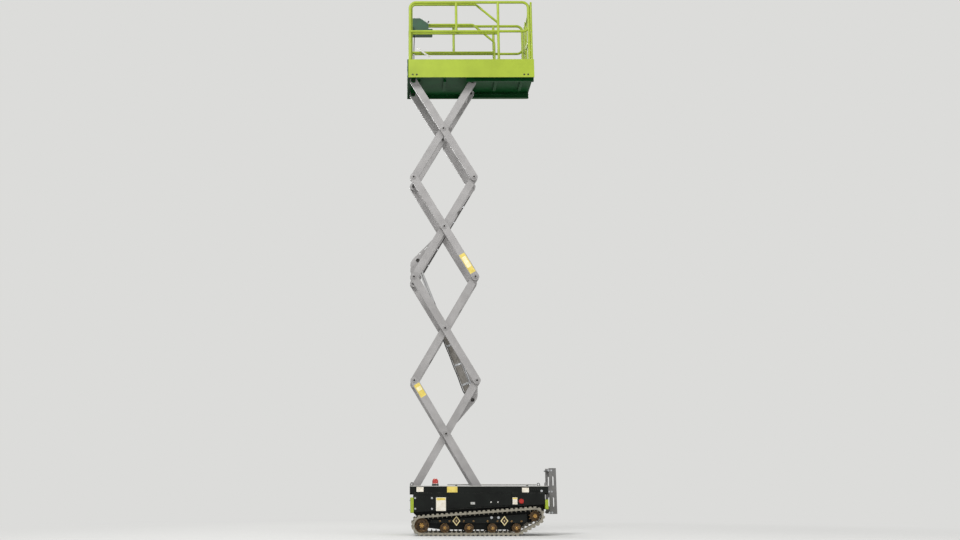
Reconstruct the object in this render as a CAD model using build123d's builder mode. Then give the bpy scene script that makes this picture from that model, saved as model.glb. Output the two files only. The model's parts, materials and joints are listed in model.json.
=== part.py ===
from build123d import *
import os
from math import acos, atan2, ceil, cos, degrees, hypot, pi, radians, sin, tan

# Tracked scissor lift, standing raised.  Millimetres.
# +X is forward, +Y is the machine's left, +Z is up.  The ground is Z = 0.

# ---------------------------------------------------------------- driving dimensions

# scissor stack
STAGES = 4
ARM_LENGTH = 1620.0         # lower pivot to upper pivot of every arm
ARM_ANGLE = 59.3            # slope of the arms, raised
ARM_DEPTH = 100.0
ARM_WIDTH = 50.0
ARM_WALL = 5.0
ARM_END = 49.0              # tube past its end pivots
ARM_CORNER = 48.0
ARM_BLOCK = 84.0            # solid length of tube round each pivot
INNER_Y = 220.0             # middle of the inner arms
ARM_GAP = 5.0               # inner arm to outer arm
PIN_R = 20.0
BOSS_R = 32.0
HEAD_R = 27.0               # pin keeper on the outer arms
HEAD_T = 5.0
TIE_R = 30.0                # cross tubes of the inner arms
TIE_WALL = 5.0
FRONT_PIVOT_X = 870.0
BASE_PIVOT_Z = 595.0
FIT = 0.05                  # radial clearance of pins in their bores
SEAT = 0.3                  # face to face clearance between neighbours

# lift cylinder: places along an arm, and square to it towards the front
LOW_PIN_BACK = 240.0        # lower bracket's pin before the arm's upper pivot
LOW_PIN_OUT = -80.0
HIGH_PIN_ALONG = 240.0
HIGH_PIN_OUT = 80.0
CYL_PIN_R = 25.0
CYL_EYE_R = 42.0
CYL_EYE_W = 80.0
BARREL_R = 48.0
BARREL_WALL = 9.0
BARREL_LENGTH = 1060.0      # lower eye to the gland's face
GLAND_LENGTH = 60.0
GLAND_R = 54.0
ROD_R = 26.0
ROD_INSIDE = 160.0          # rod still inside the barrel, raised
BRACKET_T = 15.0
BRACKET_PAD = 5.0           # spacer between a bracket plate and its arm

# rollers at the sliding ends
ROLLER_R = 22.0
ROLLER_W = 40.0
CHANNEL_CLEAR = 11.0        # outer arm to channel lips
RAIL_GAP = 3.0              # outer arm to roller
RAIL_T = 6.0                # channel flange and web

# chassis
CHASSIS_FRONT = 930.0
CHASSIS_REAR = -841.0
CHASSIS_HALF = 430.0
BAND_BOTTOM = 534.0
FLOOR_T = 15.0
FLOOR_TOP = 530.0
BEAM_T = 20.0               # rear end beam
FRONT_PLATE_T = 5.0         # front end plate
HULL_HALF = 305.0
HULL_BOTTOM = 165.0
BOX_FRONT = 884.0
BOX_REAR = -798.0
BOX_LOW_FRONT = 295.0
BOX_LOW_REAR = 392.0
BOX_WALL = 5.0

# side doors
DOOR_FRONT = 440.0
DOOR_REAR = -370.0
DOOR_T = 20.0               # and so the rolled top edge that it turns on
DOOR_GAP = 6.0
HINGE_PIN_R = 5.0
HINGE_PIN_IN = 14.0         # pin in the jamb

# undercarriage
TRACK_INNER_Y = 320.0
TRACK_W = 180.0
BELT_T = 22.0
LUG_H = 16.0
LUG_PITCH = 59.15
LUG_ROOT = 36.0             # tread lug's length at the belt, and at its tip
LUG_TIP = 25.0
DRIVE_LUG_H = 20.0          # guide lugs down the middle of the belt's inside
DRIVE_LUG_W = 36.0
DRIVE_LUG_ROOT = 22.0
DRIVE_LUG_TIP = 10.0
IDLER_X = 797.0             # near this: the belt's length sets it
IDLER_TIP_R = 130.0
SPROCKET_X = -662.0
SPROCKET_Z = 246.0
TEETH = 11
TOOTH_ROOT = 16.0
TOOTH_LEAN = 78.0           # flank to the tooth's base
DISC_T = 30.0
ROLLER_XS = (490.0, 180.0, -114.0, -424.0)
TRACK_ROLLER_R = 58.0
TRACK_ROLLER_W = 90.0
IDLER_W = 84.0
LUG_CLEAR = 3.0             # guide lugs to the wheels' grooves

# platform
DECK_FRONT = 940.0
DECK_REAR = -802.0
DECK_HALF = 436.0
DECK_T = 5.0
DECK_RISE = 56.0            # top pivots to the deck's underside
TOE_T = 4.0
TOE_BELOW = 3.0             # toe plate below the top pivots
TOE_HEIGHT = 264.0
TUBE_R = 19.0
RAIL_HEIGHT = 1058.0        # deck to the centre of the top rail
MID_SHARE = 0.59            # mid rail's share of that height
RAIL_INSET = 26.0           # from the deck's edge
RAIL_FRONT = 916.0
RAIL_REAR = -742.0
RAIL_BEND = 85.0
SMALL_BEND = 60.0           # of the gate's and the extension's tubes
SHORT_POST_X = 270.0
FULL_POST_X = -317.0

# sliding extension
EXT_TUBE_R = 16.0
EXT_INSET = 68.0            # from the fixed rails
EXT_FRONT = 895.0
EXT_REAR_POST = -322.0
EXT_DROP = 4.0              # its rails under the fixed ones
EXT_KNEE_X = -12.0
EXT_KNEE_SHARE = 0.74       # rear post's height as a share of the rail's
EXT_DECK_GAP = 7.0
EXT_DECK_T = 5.0

# control box: a tray with a sloped console on it
CONTROL_W = 130.0
TRAY_L = 294.0
TRAY_H = 79.0
CONSOLE_L = 236.0
CONSOLE_H = 173.0
CONSOLE_FLAT = 112.0        # level part of the console's top
CONSOLE_NOSE = 86.0         # its height at the low end
CONTROL_RISE = 46.0         # console over the extension's top rail

# entry gate
GATE_X = -778.0
GATE_HALF = 235.0
GATE_TUBE_R = 15.0
GATE_POST_R = 17.0
RING_WALL = 4.0
RING_H = 40.0

# ---------------------------------------------------------------- worked-out places

ANGLE = radians(ARM_ANGLE)
RISE = ARM_LENGTH * sin(ANGLE)
REACH = ARM_LENGTH * cos(ANGLE)
REAR_PIVOT_X = FRONT_PIVOT_X - REACH
OUTER_Y = INNER_Y + ARM_WIDTH + ARM_GAP
LOW_PIN_ALONG = ARM_LENGTH - LOW_PIN_BACK
INNER_FACE = INNER_Y - ARM_WIDTH / 2
OUTER_FACE = OUTER_Y + ARM_WIDTH / 2
TOP_PIVOT_Z = BASE_PIVOT_Z + STAGES * RISE
ROLLER_IN = OUTER_FACE + RAIL_GAP
ROLLER_OUT = ROLLER_IN + ROLLER_W
CHANNEL_IN = OUTER_FACE + CHANNEL_CLEAR
CHANNEL_WEB = ROLLER_OUT + RAIL_GAP
CHANNEL_HALF = ROLLER_R + SEAT
DECK_LOW = TOP_PIVOT_Z + DECK_RISE
DECK_TOP = DECK_LOW + DECK_T
RAIL_TOP = DECK_TOP + RAIL_HEIGHT
RAIL_MID = DECK_TOP + MID_SHARE * RAIL_HEIGHT
RAIL_Y = DECK_HALF - RAIL_INSET
EXT_Y = RAIL_Y - EXT_INSET
EXT_TOP = RAIL_TOP - EXT_DROP
EXT_MID = RAIL_MID - EXT_DROP
EXT_KNEE_Z = DECK_TOP + EXT_KNEE_SHARE * (EXT_TOP - DECK_TOP)
CHASSIS_TOP = BASE_PIVOT_Z + CHANNEL_HALF + RAIL_T


def level(row):
    """Height of a row of end pivots: row 0 is the base, row STAGES the platform."""
    return BASE_PIVOT_Z + row * RISE


def inner_plane(stage, y):
    """Plane along an inner arm: x runs up it, y to its front side, z to +Y."""
    return Plane(
        origin=(FRONT_PIVOT_X, y, level(stage - 1)),
        x_dir=(-cos(ANGLE), 0, sin(ANGLE)),
        z_dir=(0, 1, 0),
    )


def outer_plane(stage, y):
    """Plane along an outer arm: x runs up it, y to its lower side, z to +Y."""
    return Plane(
        origin=(REAR_PIVOT_X, y, level(stage - 1)),
        x_dir=(cos(ANGLE), 0, sin(ANGLE)),
        z_dir=(0, 1, 0),
    )


def side_plane(y):
    """Plane seen from the machine's right: x forward, y up, z to -Y."""
    return Plane(origin=(0, y, 0), x_dir=(1, 0, 0), z_dir=(0, -1, 0))


os.makedirs("parts", exist_ok=True)


def save(piece, label):
    """Name a finished piece and write its STEP file."""
    piece.part.label = label
    export_step(piece.part, f"parts/{label}.step")


# ---------------------------------------------------------------- scissor arms

ARM_PIVOTS = ((0, 0), (ARM_LENGTH / 2, 0), (ARM_LENGTH, 0))


def arm_pair(plane_at, y_mid, washer):
    """Left and right arm of one frame: box tubes with rounded ends and three bored blocks."""
    low = y_mid - ARM_WIDTH / 2
    bay = (ARM_LENGTH - 2 * ARM_BLOCK) / 2
    mouth = ARM_END - ARM_BLOCK / 2
    with BuildPart() as pair:
        with BuildSketch(plane_at(low)):
            with Locations((ARM_LENGTH / 2, 0)):
                RectangleRounded(ARM_LENGTH + 2 * ARM_END, ARM_DEPTH, ARM_CORNER)
        extrude(amount=ARM_WIDTH)
        with BuildSketch(plane_at(low + ARM_WALL)):
            with Locations((ARM_LENGTH / 4, 0), (ARM_LENGTH * 3 / 4, 0)):
                Rectangle(bay, ARM_DEPTH - 2 * ARM_WALL)
            with Locations((-ARM_END, 0), (ARM_LENGTH + ARM_END, 0)):
                Rectangle(2 * mouth, ARM_DEPTH - 2 * ARM_WALL)
        extrude(amount=ARM_WIDTH - 2 * ARM_WALL, mode=Mode.SUBTRACT)
        if washer > 0:
            with BuildSketch(plane_at(low + ARM_WIDTH)):
                with Locations(*ARM_PIVOTS):
                    Circle(BOSS_R)
            extrude(amount=washer)
        with BuildSketch(plane_at(low)):
            with Locations(*ARM_PIVOTS):
                Circle(PIN_R + FIT)
        extrude(amount=ARM_WIDTH + washer, mode=Mode.SUBTRACT)
        mirror(about=Plane.XZ)
    return pair


# stage: places of the inner arms' cross tubes, as shares of the arm
TIE_SHARES = {1: (0.25,), 2: (0.25, 0.75), 3: (0.75,), 4: (0.62, 0.9)}

for stage in range(1, STAGES + 1):
    inner_arms = arm_pair(lambda y: inner_plane(stage, y), INNER_Y, ARM_GAP - SEAT)
    save(inner_arms, f"inner_arms_{stage}")

    with BuildPart() as inner_ties:
        with BuildSketch(inner_plane(stage, -INNER_FACE)):
            with Locations(*[(share * ARM_LENGTH, 0) for share in TIE_SHARES[stage]]):
                Circle(TIE_R)
                Circle(TIE_R - TIE_WALL, mode=Mode.SUBTRACT)
        extrude(amount=2 * INNER_FACE)
    save(inner_ties, f"inner_ties_{stage}")

    outer_arms = arm_pair(lambda y: outer_plane(stage, y), OUTER_Y, 0)
    save(outer_arms, f"outer_arms_{stage}")

# Pins ride on the outer arms.  Where the lift cylinder passes, two short pins
# stand in for a through pin.  Columns: stage, place along the arm, through or not
PIN_TABLE = (
    (1, 0.5, True),
    (1, 1.0, True),
    (2, 0.0, True),
    (2, 0.5, False),
    (2, 1.0, False),
    (3, 0.0, True),
    (3, 0.5, True),
    (3, 1.0, True),
    (4, 0.0, True),
    (4, 0.5, True),
)
HEAD_FACE = OUTER_FACE + SEAT
STUB_END = INNER_FACE - 5

for stage in range(1, STAGES + 1):
    with BuildPart() as pins:
        for pin_stage, share, through in PIN_TABLE:
            if pin_stage != stage:
                continue
            with BuildSketch(outer_plane(stage, 0 if through else STUB_END)):
                with Locations((share * ARM_LENGTH, 0)):
                    Circle(PIN_R)
            extrude(amount=HEAD_FACE - (0 if through else STUB_END))
            with BuildSketch(outer_plane(stage, HEAD_FACE)):
                with Locations((share * ARM_LENGTH, 0)):
                    Circle(HEAD_R)
            extrude(amount=HEAD_T)
        mirror(about=Plane.XZ)
    save(pins, f"outer_pins_{stage}")


def roller_pair(plane_at, share, axle_from):
    """Two flanged rollers on stub axles, one at each side of the stack."""
    with BuildPart() as rollers:
        with BuildSketch(plane_at(axle_from)):
            with Locations((share * ARM_LENGTH, 0)):
                Circle(PIN_R)
        extrude(amount=ROLLER_OUT - axle_from)
        with BuildSketch(plane_at(ROLLER_IN)):
            with Locations((share * ARM_LENGTH, 0)):
                Circle(ROLLER_R)
        extrude(amount=ROLLER_W)
        mirror(about=Plane.XZ)
    return rollers


base_rollers = roller_pair(lambda y: outer_plane(1, y), 0.0, OUTER_Y - ARM_WIDTH / 2)
save(base_rollers, "base_rollers")
deck_rollers = roller_pair(lambda y: inner_plane(STAGES, y), 1.0, INNER_FACE)
save(deck_rollers, "deck_rollers")

# ---------------------------------------------------------------- lift cylinder

HIGH_STAGE = 3


def inner_point(stage, along, out):
    """World X and Z of a place on an inner arm."""
    x = FRONT_PIVOT_X - along * cos(ANGLE) + out * sin(ANGLE)
    z = level(stage - 1) + along * sin(ANGLE) + out * cos(ANGLE)
    return x, z


LOW_X, LOW_Z = inner_point(1, LOW_PIN_ALONG, LOW_PIN_OUT)
HIGH_X, HIGH_Z = inner_point(HIGH_STAGE, HIGH_PIN_ALONG, HIGH_PIN_OUT)
CYL_LENGTH = hypot(HIGH_X - LOW_X, HIGH_Z - LOW_Z)
CYL_DIR = ((HIGH_X - LOW_X) / CYL_LENGTH, 0, (HIGH_Z - LOW_Z) / CYL_LENGTH)
BRACKET_OUT = INNER_FACE - BRACKET_PAD
BRACKET_IN = BRACKET_OUT - BRACKET_T
PAD_L = 520.0
PAD_W = ARM_DEPTH - 44
PAD_MID = 350.0             # pad's middle from the arm's end pivot
EYE_HALF = CYL_EYE_W / 2

BRACKET_HOLE_R = 13.0

# outline of each bracket on its arm: along the arm, out from its middle
LOW_BRACKET = ((-660, -40), (-250, -118), (-205, -124), (-165, -112), (-40, -40), (-40, 30), (-660, 30))
HIGH_BRACKET = ((40, 40), (125, 128), (165, 148), (225, 146), (650, 40), (650, -30), (40, -30))

with BuildPart() as lower_bracket:
    with BuildSketch(inner_plane(1, BRACKET_IN)):
        with BuildLine():
            Polyline(*[(ARM_LENGTH + a, b) for a, b in LOW_BRACKET], close=True)
        make_face()
        with Locations((LOW_PIN_ALONG, LOW_PIN_OUT)):
            Circle(CYL_PIN_R + FIT, mode=Mode.SUBTRACT)
        with Locations((LOW_PIN_ALONG + 96, LOW_PIN_OUT + 14)):
            Circle(BRACKET_HOLE_R, mode=Mode.SUBTRACT)
    extrude(amount=BRACKET_T)
    with BuildSketch(inner_plane(1, BRACKET_OUT)):
        with Locations((ARM_LENGTH - PAD_MID, -4)):
            Rectangle(PAD_L, PAD_W)
    extrude(amount=BRACKET_PAD)
    mirror(about=Plane.XZ)
    with BuildSketch(inner_plane(1, -BRACKET_OUT)):
        with Locations((LOW_PIN_ALONG, LOW_PIN_OUT)):
            Circle(CYL_PIN_R)
    extrude(amount=2 * BRACKET_OUT)
save(lower_bracket, "lower_bracket")

STUB_FREE = EYE_HALF + 6
with BuildPart() as upper_bracket:
    with BuildSketch(inner_plane(HIGH_STAGE, BRACKET_IN)):
        with BuildLine():
            Polyline(*HIGH_BRACKET, close=True)
        make_face()
        with Locations((HIGH_PIN_ALONG - 108, HIGH_PIN_OUT + 4), (HIGH_PIN_ALONG + 96, HIGH_PIN_OUT + 22)):
            Circle(BRACKET_HOLE_R, mode=Mode.SUBTRACT)
        with Locations((HIGH_PIN_ALONG + 200, HIGH_PIN_OUT - 8)):
            SlotOverall(5 * BRACKET_HOLE_R, BRACKET_HOLE_R, rotation=-14, mode=Mode.SUBTRACT)
    extrude(amount=BRACKET_T)
    with BuildSketch(inner_plane(HIGH_STAGE, BRACKET_OUT)):
        with Locations((PAD_MID, 4)):
            Rectangle(PAD_L, PAD_W)
    extrude(amount=BRACKET_PAD)
    with BuildSketch(inner_plane(HIGH_STAGE, STUB_FREE)):
        with Locations((HIGH_PIN_ALONG, HIGH_PIN_OUT)):
            Circle(CYL_PIN_R)
    extrude(amount=BRACKET_IN - STUB_FREE)
    mirror(about=Plane.XZ)
save(upper_bracket, "upper_bracket")


def along_cylinder(distance):
    """Plane square to the cylinder, at a distance from its lower eye."""
    return Plane(
        origin=(LOW_X + distance * CYL_DIR[0], 0, LOW_Z + distance * CYL_DIR[2]),
        x_dir=(0, 1, 0),
        z_dir=CYL_DIR,
    )


def eye_plane(distance):
    """Plane of an eye's side face on the cylinder's line."""
    return Plane(
        origin=(LOW_X + distance * CYL_DIR[0], -EYE_HALF, LOW_Z + distance * CYL_DIR[2]),
        x_dir=CYL_DIR,
        z_dir=(0, 1, 0),
    )


BARREL_FOOT = CYL_EYE_R - 6

with BuildPart() as cylinder_barrel:
    with BuildSketch(along_cylinder(BARREL_FOOT)):
        Circle(BARREL_R)
    extrude(amount=BARREL_LENGTH - BARREL_FOOT)
    with BuildSketch(along_cylinder(BARREL_LENGTH - GLAND_LENGTH)):
        Circle(GLAND_R)
    extrude(amount=GLAND_LENGTH)
    with BuildSketch(eye_plane(0)):
        Circle(CYL_EYE_R)
    extrude(amount=CYL_EYE_W)
    with BuildSketch(along_cylinder(CYL_EYE_R + BARREL_WALL)):
        Circle(BARREL_R - BARREL_WALL)
    extrude(amount=BARREL_LENGTH - GLAND_LENGTH - CYL_EYE_R - BARREL_WALL, mode=Mode.SUBTRACT)
    with BuildSketch(along_cylinder(BARREL_LENGTH - GLAND_LENGTH)):
        Circle(ROD_R + FIT)
    extrude(amount=GLAND_LENGTH, mode=Mode.SUBTRACT)
    with BuildSketch(eye_plane(0)):
        Circle(CYL_PIN_R + FIT)
    extrude(amount=CYL_EYE_W, mode=Mode.SUBTRACT)
save(cylinder_barrel, "cylinder_barrel")

ROD_START = BARREL_LENGTH - ROD_INSIDE
PISTON_LENGTH = 60.0

with BuildPart() as cylinder_rod:
    with BuildSketch(along_cylinder(ROD_START)):
        Circle(ROD_R)
    extrude(amount=CYL_LENGTH - ROD_START - CYL_PIN_R - 5)
    with BuildSketch(along_cylinder(ROD_START)):
        Circle(BARREL_R - BARREL_WALL - SEAT)
    extrude(amount=PISTON_LENGTH)
    with BuildSketch(eye_plane(CYL_LENGTH)):
        Circle(CYL_EYE_R)
    extrude(amount=CYL_EYE_W)
    with BuildSketch(eye_plane(CYL_LENGTH)):
        Circle(CYL_PIN_R + FIT)
    extrude(amount=CYL_EYE_W, mode=Mode.SUBTRACT)
save(cylinder_rod, "cylinder_rod")

# ---------------------------------------------------------------- chassis frame

EAR_T = 20.0
EAR_R = 32.0
EAR_INNER = INNER_FACE - SEAT
EAR_OUTER = INNER_Y + ARM_WIDTH / 2 + ARM_GAP

with BuildPart() as base_frame:
    # side beams: an inward channel for the rollers, with a closed outer skin
    with BuildSketch(Plane.YZ.offset(CHASSIS_REAR)):
        with Locations(((CHANNEL_IN + CHASSIS_HALF) / 2, (BAND_BOTTOM + CHASSIS_TOP) / 2)):
            Rectangle(CHASSIS_HALF - CHANNEL_IN, CHASSIS_TOP - BAND_BOTTOM)
        with Locations(((CHANNEL_IN + CHANNEL_WEB) / 2, BASE_PIVOT_Z)):
            Rectangle(CHANNEL_WEB - CHANNEL_IN, 2 * CHANNEL_HALF, mode=Mode.SUBTRACT)
        with Locations(
            ((CHANNEL_WEB + CHASSIS_HALF) / 2, (BAND_BOTTOM + CHASSIS_TOP) / 2),
        ):
            Rectangle(
                CHASSIS_HALF - CHANNEL_WEB - 2 * RAIL_T,
                CHASSIS_TOP - BAND_BOTTOM - 2 * RAIL_T,
                mode=Mode.SUBTRACT,
            )
    extrude(amount=CHASSIS_FRONT - CHASSIS_REAR)
    # end beams
    for beam_x, beam_t in ((CHASSIS_REAR, BEAM_T), (CHASSIS_FRONT, -FRONT_PLATE_T)):
        with BuildSketch(Plane.YZ.offset(beam_x)):
            with Locations((CHASSIS_HALF / 2, (FLOOR_TOP - FLOOR_T + CHASSIS_TOP) / 2)):
                Rectangle(CHASSIS_HALF, CHASSIS_TOP - FLOOR_TOP + FLOOR_T)
        extrude(amount=beam_t)
    # floor of the well
    with BuildSketch(Plane.XY.offset(FLOOR_TOP - FLOOR_T)):
        with Locations(((CHASSIS_FRONT + CHASSIS_REAR) / 2, CHANNEL_WEB / 2)):
            Rectangle(CHASSIS_FRONT - CHASSIS_REAR, CHANNEL_WEB)
    extrude(amount=FLOOR_T)
    with BuildSketch(Plane.XY.offset(FLOOR_TOP)):
        with Locations(((CHASSIS_FRONT + CHASSIS_REAR) / 2, (CHANNEL_IN + CHANNEL_WEB) / 2)):
            Rectangle(CHASSIS_FRONT - CHASSIS_REAR, CHANNEL_WEB - CHANNEL_IN)
    extrude(amount=BAND_BOTTOM - FLOOR_TOP)
    # ears of the fixed front pivots
    for ear_y in (EAR_INNER, EAR_OUTER + EAR_T):
        with BuildSketch(side_plane(ear_y)):
            with BuildLine():
                foot = EAR_R + 18
                Line((FRONT_PIVOT_X - foot, FLOOR_TOP), (FRONT_PIVOT_X - EAR_R, BASE_PIVOT_Z))
                ThreePointArc(
                    (FRONT_PIVOT_X - EAR_R, BASE_PIVOT_Z),
                    (FRONT_PIVOT_X, BASE_PIVOT_Z + EAR_R),
                    (FRONT_PIVOT_X + EAR_R, BASE_PIVOT_Z),
                )
                Line((FRONT_PIVOT_X + EAR_R, BASE_PIVOT_Z), (FRONT_PIVOT_X + EAR_R, FLOOR_TOP))
                Line((FRONT_PIVOT_X + EAR_R, FLOOR_TOP), (FRONT_PIVOT_X - foot, FLOOR_TOP))
            make_face()
            with Locations((FRONT_PIVOT_X, BASE_PIVOT_Z)):
                Circle(PIN_R + FIT, mode=Mode.SUBTRACT)
        extrude(amount=EAR_T)
    mirror(about=Plane.XZ)
save(base_frame, "base_frame")

with BuildPart() as base_pins:
    with BuildSketch(inner_plane(1, EAR_INNER - EAR_T)):
        Circle(PIN_R)
    extrude(amount=EAR_OUTER + EAR_T - EAR_INNER + EAR_T)
    mirror(about=Plane.XZ)
save(base_pins, "base_pins")

HULL_TOP = FLOOR_TOP - FLOOR_T
HULL_FRONT = BOX_FRONT - 4
HULL_REAR = BOX_REAR + 4

with BuildPart() as lower_hull:
    with BuildSketch(side_plane(HULL_HALF)):
        with BuildLine():
            Polyline(
                (HULL_FRONT, HULL_TOP),
                (HULL_FRONT, HULL_BOTTOM + 110),
                (HULL_FRONT - 120, HULL_BOTTOM),
                (HULL_REAR + 150, HULL_BOTTOM),
                (HULL_REAR, HULL_BOTTOM + 130),
                (HULL_REAR, HULL_TOP),
                close=True,
            )
        make_face()
    extrude(amount=2 * HULL_HALF)
save(lower_hull, "lower_hull")


def box_low(x):
    """Height of the side boxes' sloping underside, which follows the track."""
    return BOX_LOW_FRONT + (BOX_LOW_REAR - BOX_LOW_FRONT) * (BOX_FRONT - x) / (BOX_FRONT - BOX_REAR)


DOOR_TOP = BAND_BOTTOM - SEAT
DOOR_AXIS_Y = CHASSIS_HALF - DOOR_T / 2
DOOR_AXIS_Z = DOOR_TOP - DOOR_T / 2
DOOR_LOW_LIFT = 16.0
SILL = DOOR_GAP + 0.5         # door's lower edge to the doorway, measured upright


def door_low(x):
    """Height of a door's lower edge."""
    return box_low(x) + DOOR_LOW_LIFT


# Side boxes over the tracks, open outwards behind their doors
BOX_TOP = FLOOR_TOP - FLOOR_T
with BuildPart() as side_boxes:
    with BuildSketch(side_plane(CHASSIS_HALF)):
        with BuildLine():
            Polyline(
                (BOX_FRONT, BAND_BOTTOM),
                (BOX_FRONT, box_low(BOX_FRONT)),
                (BOX_REAR, box_low(BOX_REAR)),
                (BOX_REAR, BAND_BOTTOM),
                close=True,
            )
        make_face()
    extrude(amount=CHASSIS_HALF - HULL_HALF)
    # step under the floor plate
    with BuildSketch(Plane.XZ.offset(-HULL_HALF)):
        with Locations(((BOX_FRONT + BOX_REAR) / 2, (BOX_TOP + BAND_BOTTOM) / 2)):
            Rectangle(BOX_FRONT - BOX_REAR, BAND_BOTTOM - BOX_TOP)
    extrude(amount=-(CHANNEL_WEB - HULL_HALF), mode=Mode.SUBTRACT)
    # doorway, and the space behind it
    with BuildSketch(side_plane(CHASSIS_HALF)):
        with BuildLine():
            Polyline(
                (DOOR_FRONT + DOOR_GAP, BAND_BOTTOM),
                (DOOR_FRONT + DOOR_GAP, door_low(DOOR_FRONT) - SILL),
                (DOOR_REAR - DOOR_GAP, door_low(DOOR_REAR) - SILL),
                (DOOR_REAR - DOOR_GAP, BAND_BOTTOM),
                close=True,
            )
        make_face()
    extrude(amount=CHASSIS_HALF - CHANNEL_WEB, mode=Mode.SUBTRACT)
    with BuildSketch(side_plane(CHANNEL_WEB)):
        with BuildLine():
            Polyline(
                (DOOR_FRONT + DOOR_GAP, BOX_TOP - BOX_WALL),
                (DOOR_FRONT + DOOR_GAP, door_low(DOOR_FRONT) - SILL),
                (DOOR_REAR - DOOR_GAP, door_low(DOOR_REAR) - SILL),
                (DOOR_REAR - DOOR_GAP, BOX_TOP - BOX_WALL),
                close=True,
            )
        make_face()
    extrude(amount=CHANNEL_WEB - HULL_HALF - BOX_WALL, mode=Mode.SUBTRACT)
    # sockets of the door's hinge pins in both jambs
    with BuildSketch(Plane.YZ.offset(DOOR_REAR - DOOR_GAP - HINGE_PIN_IN)):
        with Locations((DOOR_AXIS_Y, DOOR_AXIS_Z)):
            Circle(HINGE_PIN_R + FIT)
    extrude(amount=DOOR_FRONT - DOOR_REAR + 2 * (DOOR_GAP + HINGE_PIN_IN), mode=Mode.SUBTRACT)
    mirror(about=Plane.XZ)
save(side_boxes, "side_boxes")

# Batteries and the hydraulic power unit, one plain block behind each door
BLOCK_L = 640.0
BLOCK_CLEAR = 12.0          # block to the shut door
BLOCK_IN = HULL_HALF + BOX_WALL
BLOCK_W = CHASSIS_HALF - DOOR_T - BLOCK_CLEAR - BLOCK_IN
BLOCK_FLOOR = door_low(DOOR_REAR) - SILL
with BuildPart() as power_blocks:
    with BuildSketch(Plane.XY.offset(BLOCK_FLOOR)):
        with Locations(
            (0, BLOCK_IN + BLOCK_W / 2),
            (0, -BLOCK_IN - BLOCK_W / 2),
        ):
            Rectangle(BLOCK_L, BLOCK_W)
    extrude(amount=BOX_TOP - BOX_WALL - 14 - BLOCK_FLOOR)
save(power_blocks, "power_blocks")

# ---------------------------------------------------------------- side doors

LATCH_X = 128.0
LATCH_W = 58.0
LATCH_H = 30.0
LATCH_T = 7.0

for side, name in ((1, "left"), (-1, "right")):
    with BuildPart() as door:
        with BuildSketch(side_plane(CHASSIS_HALF)):
            with BuildLine():
                Polyline(
                    (DOOR_FRONT, DOOR_AXIS_Z),
                    (DOOR_FRONT, door_low(DOOR_FRONT)),
                    (DOOR_REAR, door_low(DOOR_REAR)),
                    (DOOR_REAR, DOOR_AXIS_Z),
                    close=True,
                )
            make_face()
        extrude(amount=DOOR_T)
        for edge_r, edge_out in ((DOOR_T / 2, 0), (HINGE_PIN_R, DOOR_GAP + HINGE_PIN_IN - SEAT)):
            with BuildSketch(Plane.YZ.offset(DOOR_REAR - edge_out)):
                with Locations((DOOR_AXIS_Y, DOOR_AXIS_Z)):
                    Circle(edge_r)
            extrude(amount=DOOR_FRONT - DOOR_REAR + 2 * edge_out)
        with BuildSketch(side_plane(CHASSIS_HALF + LATCH_T)):
            with Locations((LATCH_X, door_low(LATCH_X) + 52)):
                RectangleRounded(LATCH_W, LATCH_H, 6)
        extrude(amount=LATCH_T)
        if side < 0:
            mirror(about=Plane.XZ, mode=Mode.REPLACE)
    save(door, f"side_door_{name}")

# ---------------------------------------------------------------- end panels and small chassis parts

PANEL_T = 40.0
FRONT_PANEL_TOP = 478.0
FRONT_PANEL_H = 194.0
REAR_PANEL_TOP = 452.0
REAR_PANEL_H = 124.0
with BuildPart() as end_panels:
    for panel_x, panel_t, panel_top, panel_h in (
        (BOX_FRONT, PANEL_T, FRONT_PANEL_TOP, FRONT_PANEL_H),
        (BOX_REAR, -PANEL_T, REAR_PANEL_TOP, REAR_PANEL_H),
    ):
        with BuildSketch(Plane.YZ.offset(panel_x)):
            with Locations((0, panel_top - panel_h / 2)):
                RectangleRounded(2 * CHASSIS_HALF, panel_h, 12)
        extrude(amount=panel_t)
save(end_panels, "end_panels")

# service cover ahead of each door, held by four screws
COVER_T = 3.0
COVER_L = 242.0
COVER_H = 162.0
COVER_X = BOX_FRONT - COVER_L / 2 - 6
COVER_Z = BAND_BOTTOM - COVER_H / 2 - 50
with BuildPart() as service_covers:
    with BuildSketch(side_plane(CHASSIS_HALF + COVER_T)):
        with Locations((COVER_X, COVER_Z)):
            RectangleRounded(COVER_L, COVER_H, 8)
    extrude(amount=COVER_T)
    mirror(about=Plane.XZ)
save(service_covers, "service_covers")

BEACON_X = 604.0
BEACON_Y = CHASSIS_HALF - 44
BEACON_BASE_R = 43.0
BEACON_BASE_H = 22.0
BEACON_R = 39.0
BEACON_WALL_H = 46.0
BEACON_CROWN_H = 22.0
with BuildPart() as beacon_base:
    with BuildSketch(Plane.XY.offset(CHASSIS_TOP)):
        with Locations((BEACON_X, BEACON_Y)):
            Circle(BEACON_BASE_R)
    extrude(amount=BEACON_BASE_H)
save(beacon_base, "beacon_base")

with BuildPart() as beacon_dome:
    for dome_z, dome_h, dome_taper in ((0, BEACON_WALL_H, 0), (BEACON_WALL_H, BEACON_CROWN_H, 35)):
        with BuildSketch(Plane.XY.offset(CHASSIS_TOP + BEACON_BASE_H + dome_z)):
            with Locations((BEACON_X, BEACON_Y)):
                Circle(BEACON_R)
        extrude(amount=dome_h, taper=dome_taper)
save(beacon_dome, "beacon_dome")

STOP_X = -492.0
STOP_Z = 430.0
with BuildPart() as emergency_stop:
    with BuildSketch(side_plane(CHASSIS_HALF)):
        with Locations((STOP_X, STOP_Z)):
            Circle(20)
    extrude(amount=-14)
    with BuildSketch(side_plane(CHASSIS_HALF + 14)):
        with Locations((STOP_X, STOP_Z)):
            Circle(33)
    extrude(amount=-16, taper=20)
save(emergency_stop, "emergency_stop")

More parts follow.
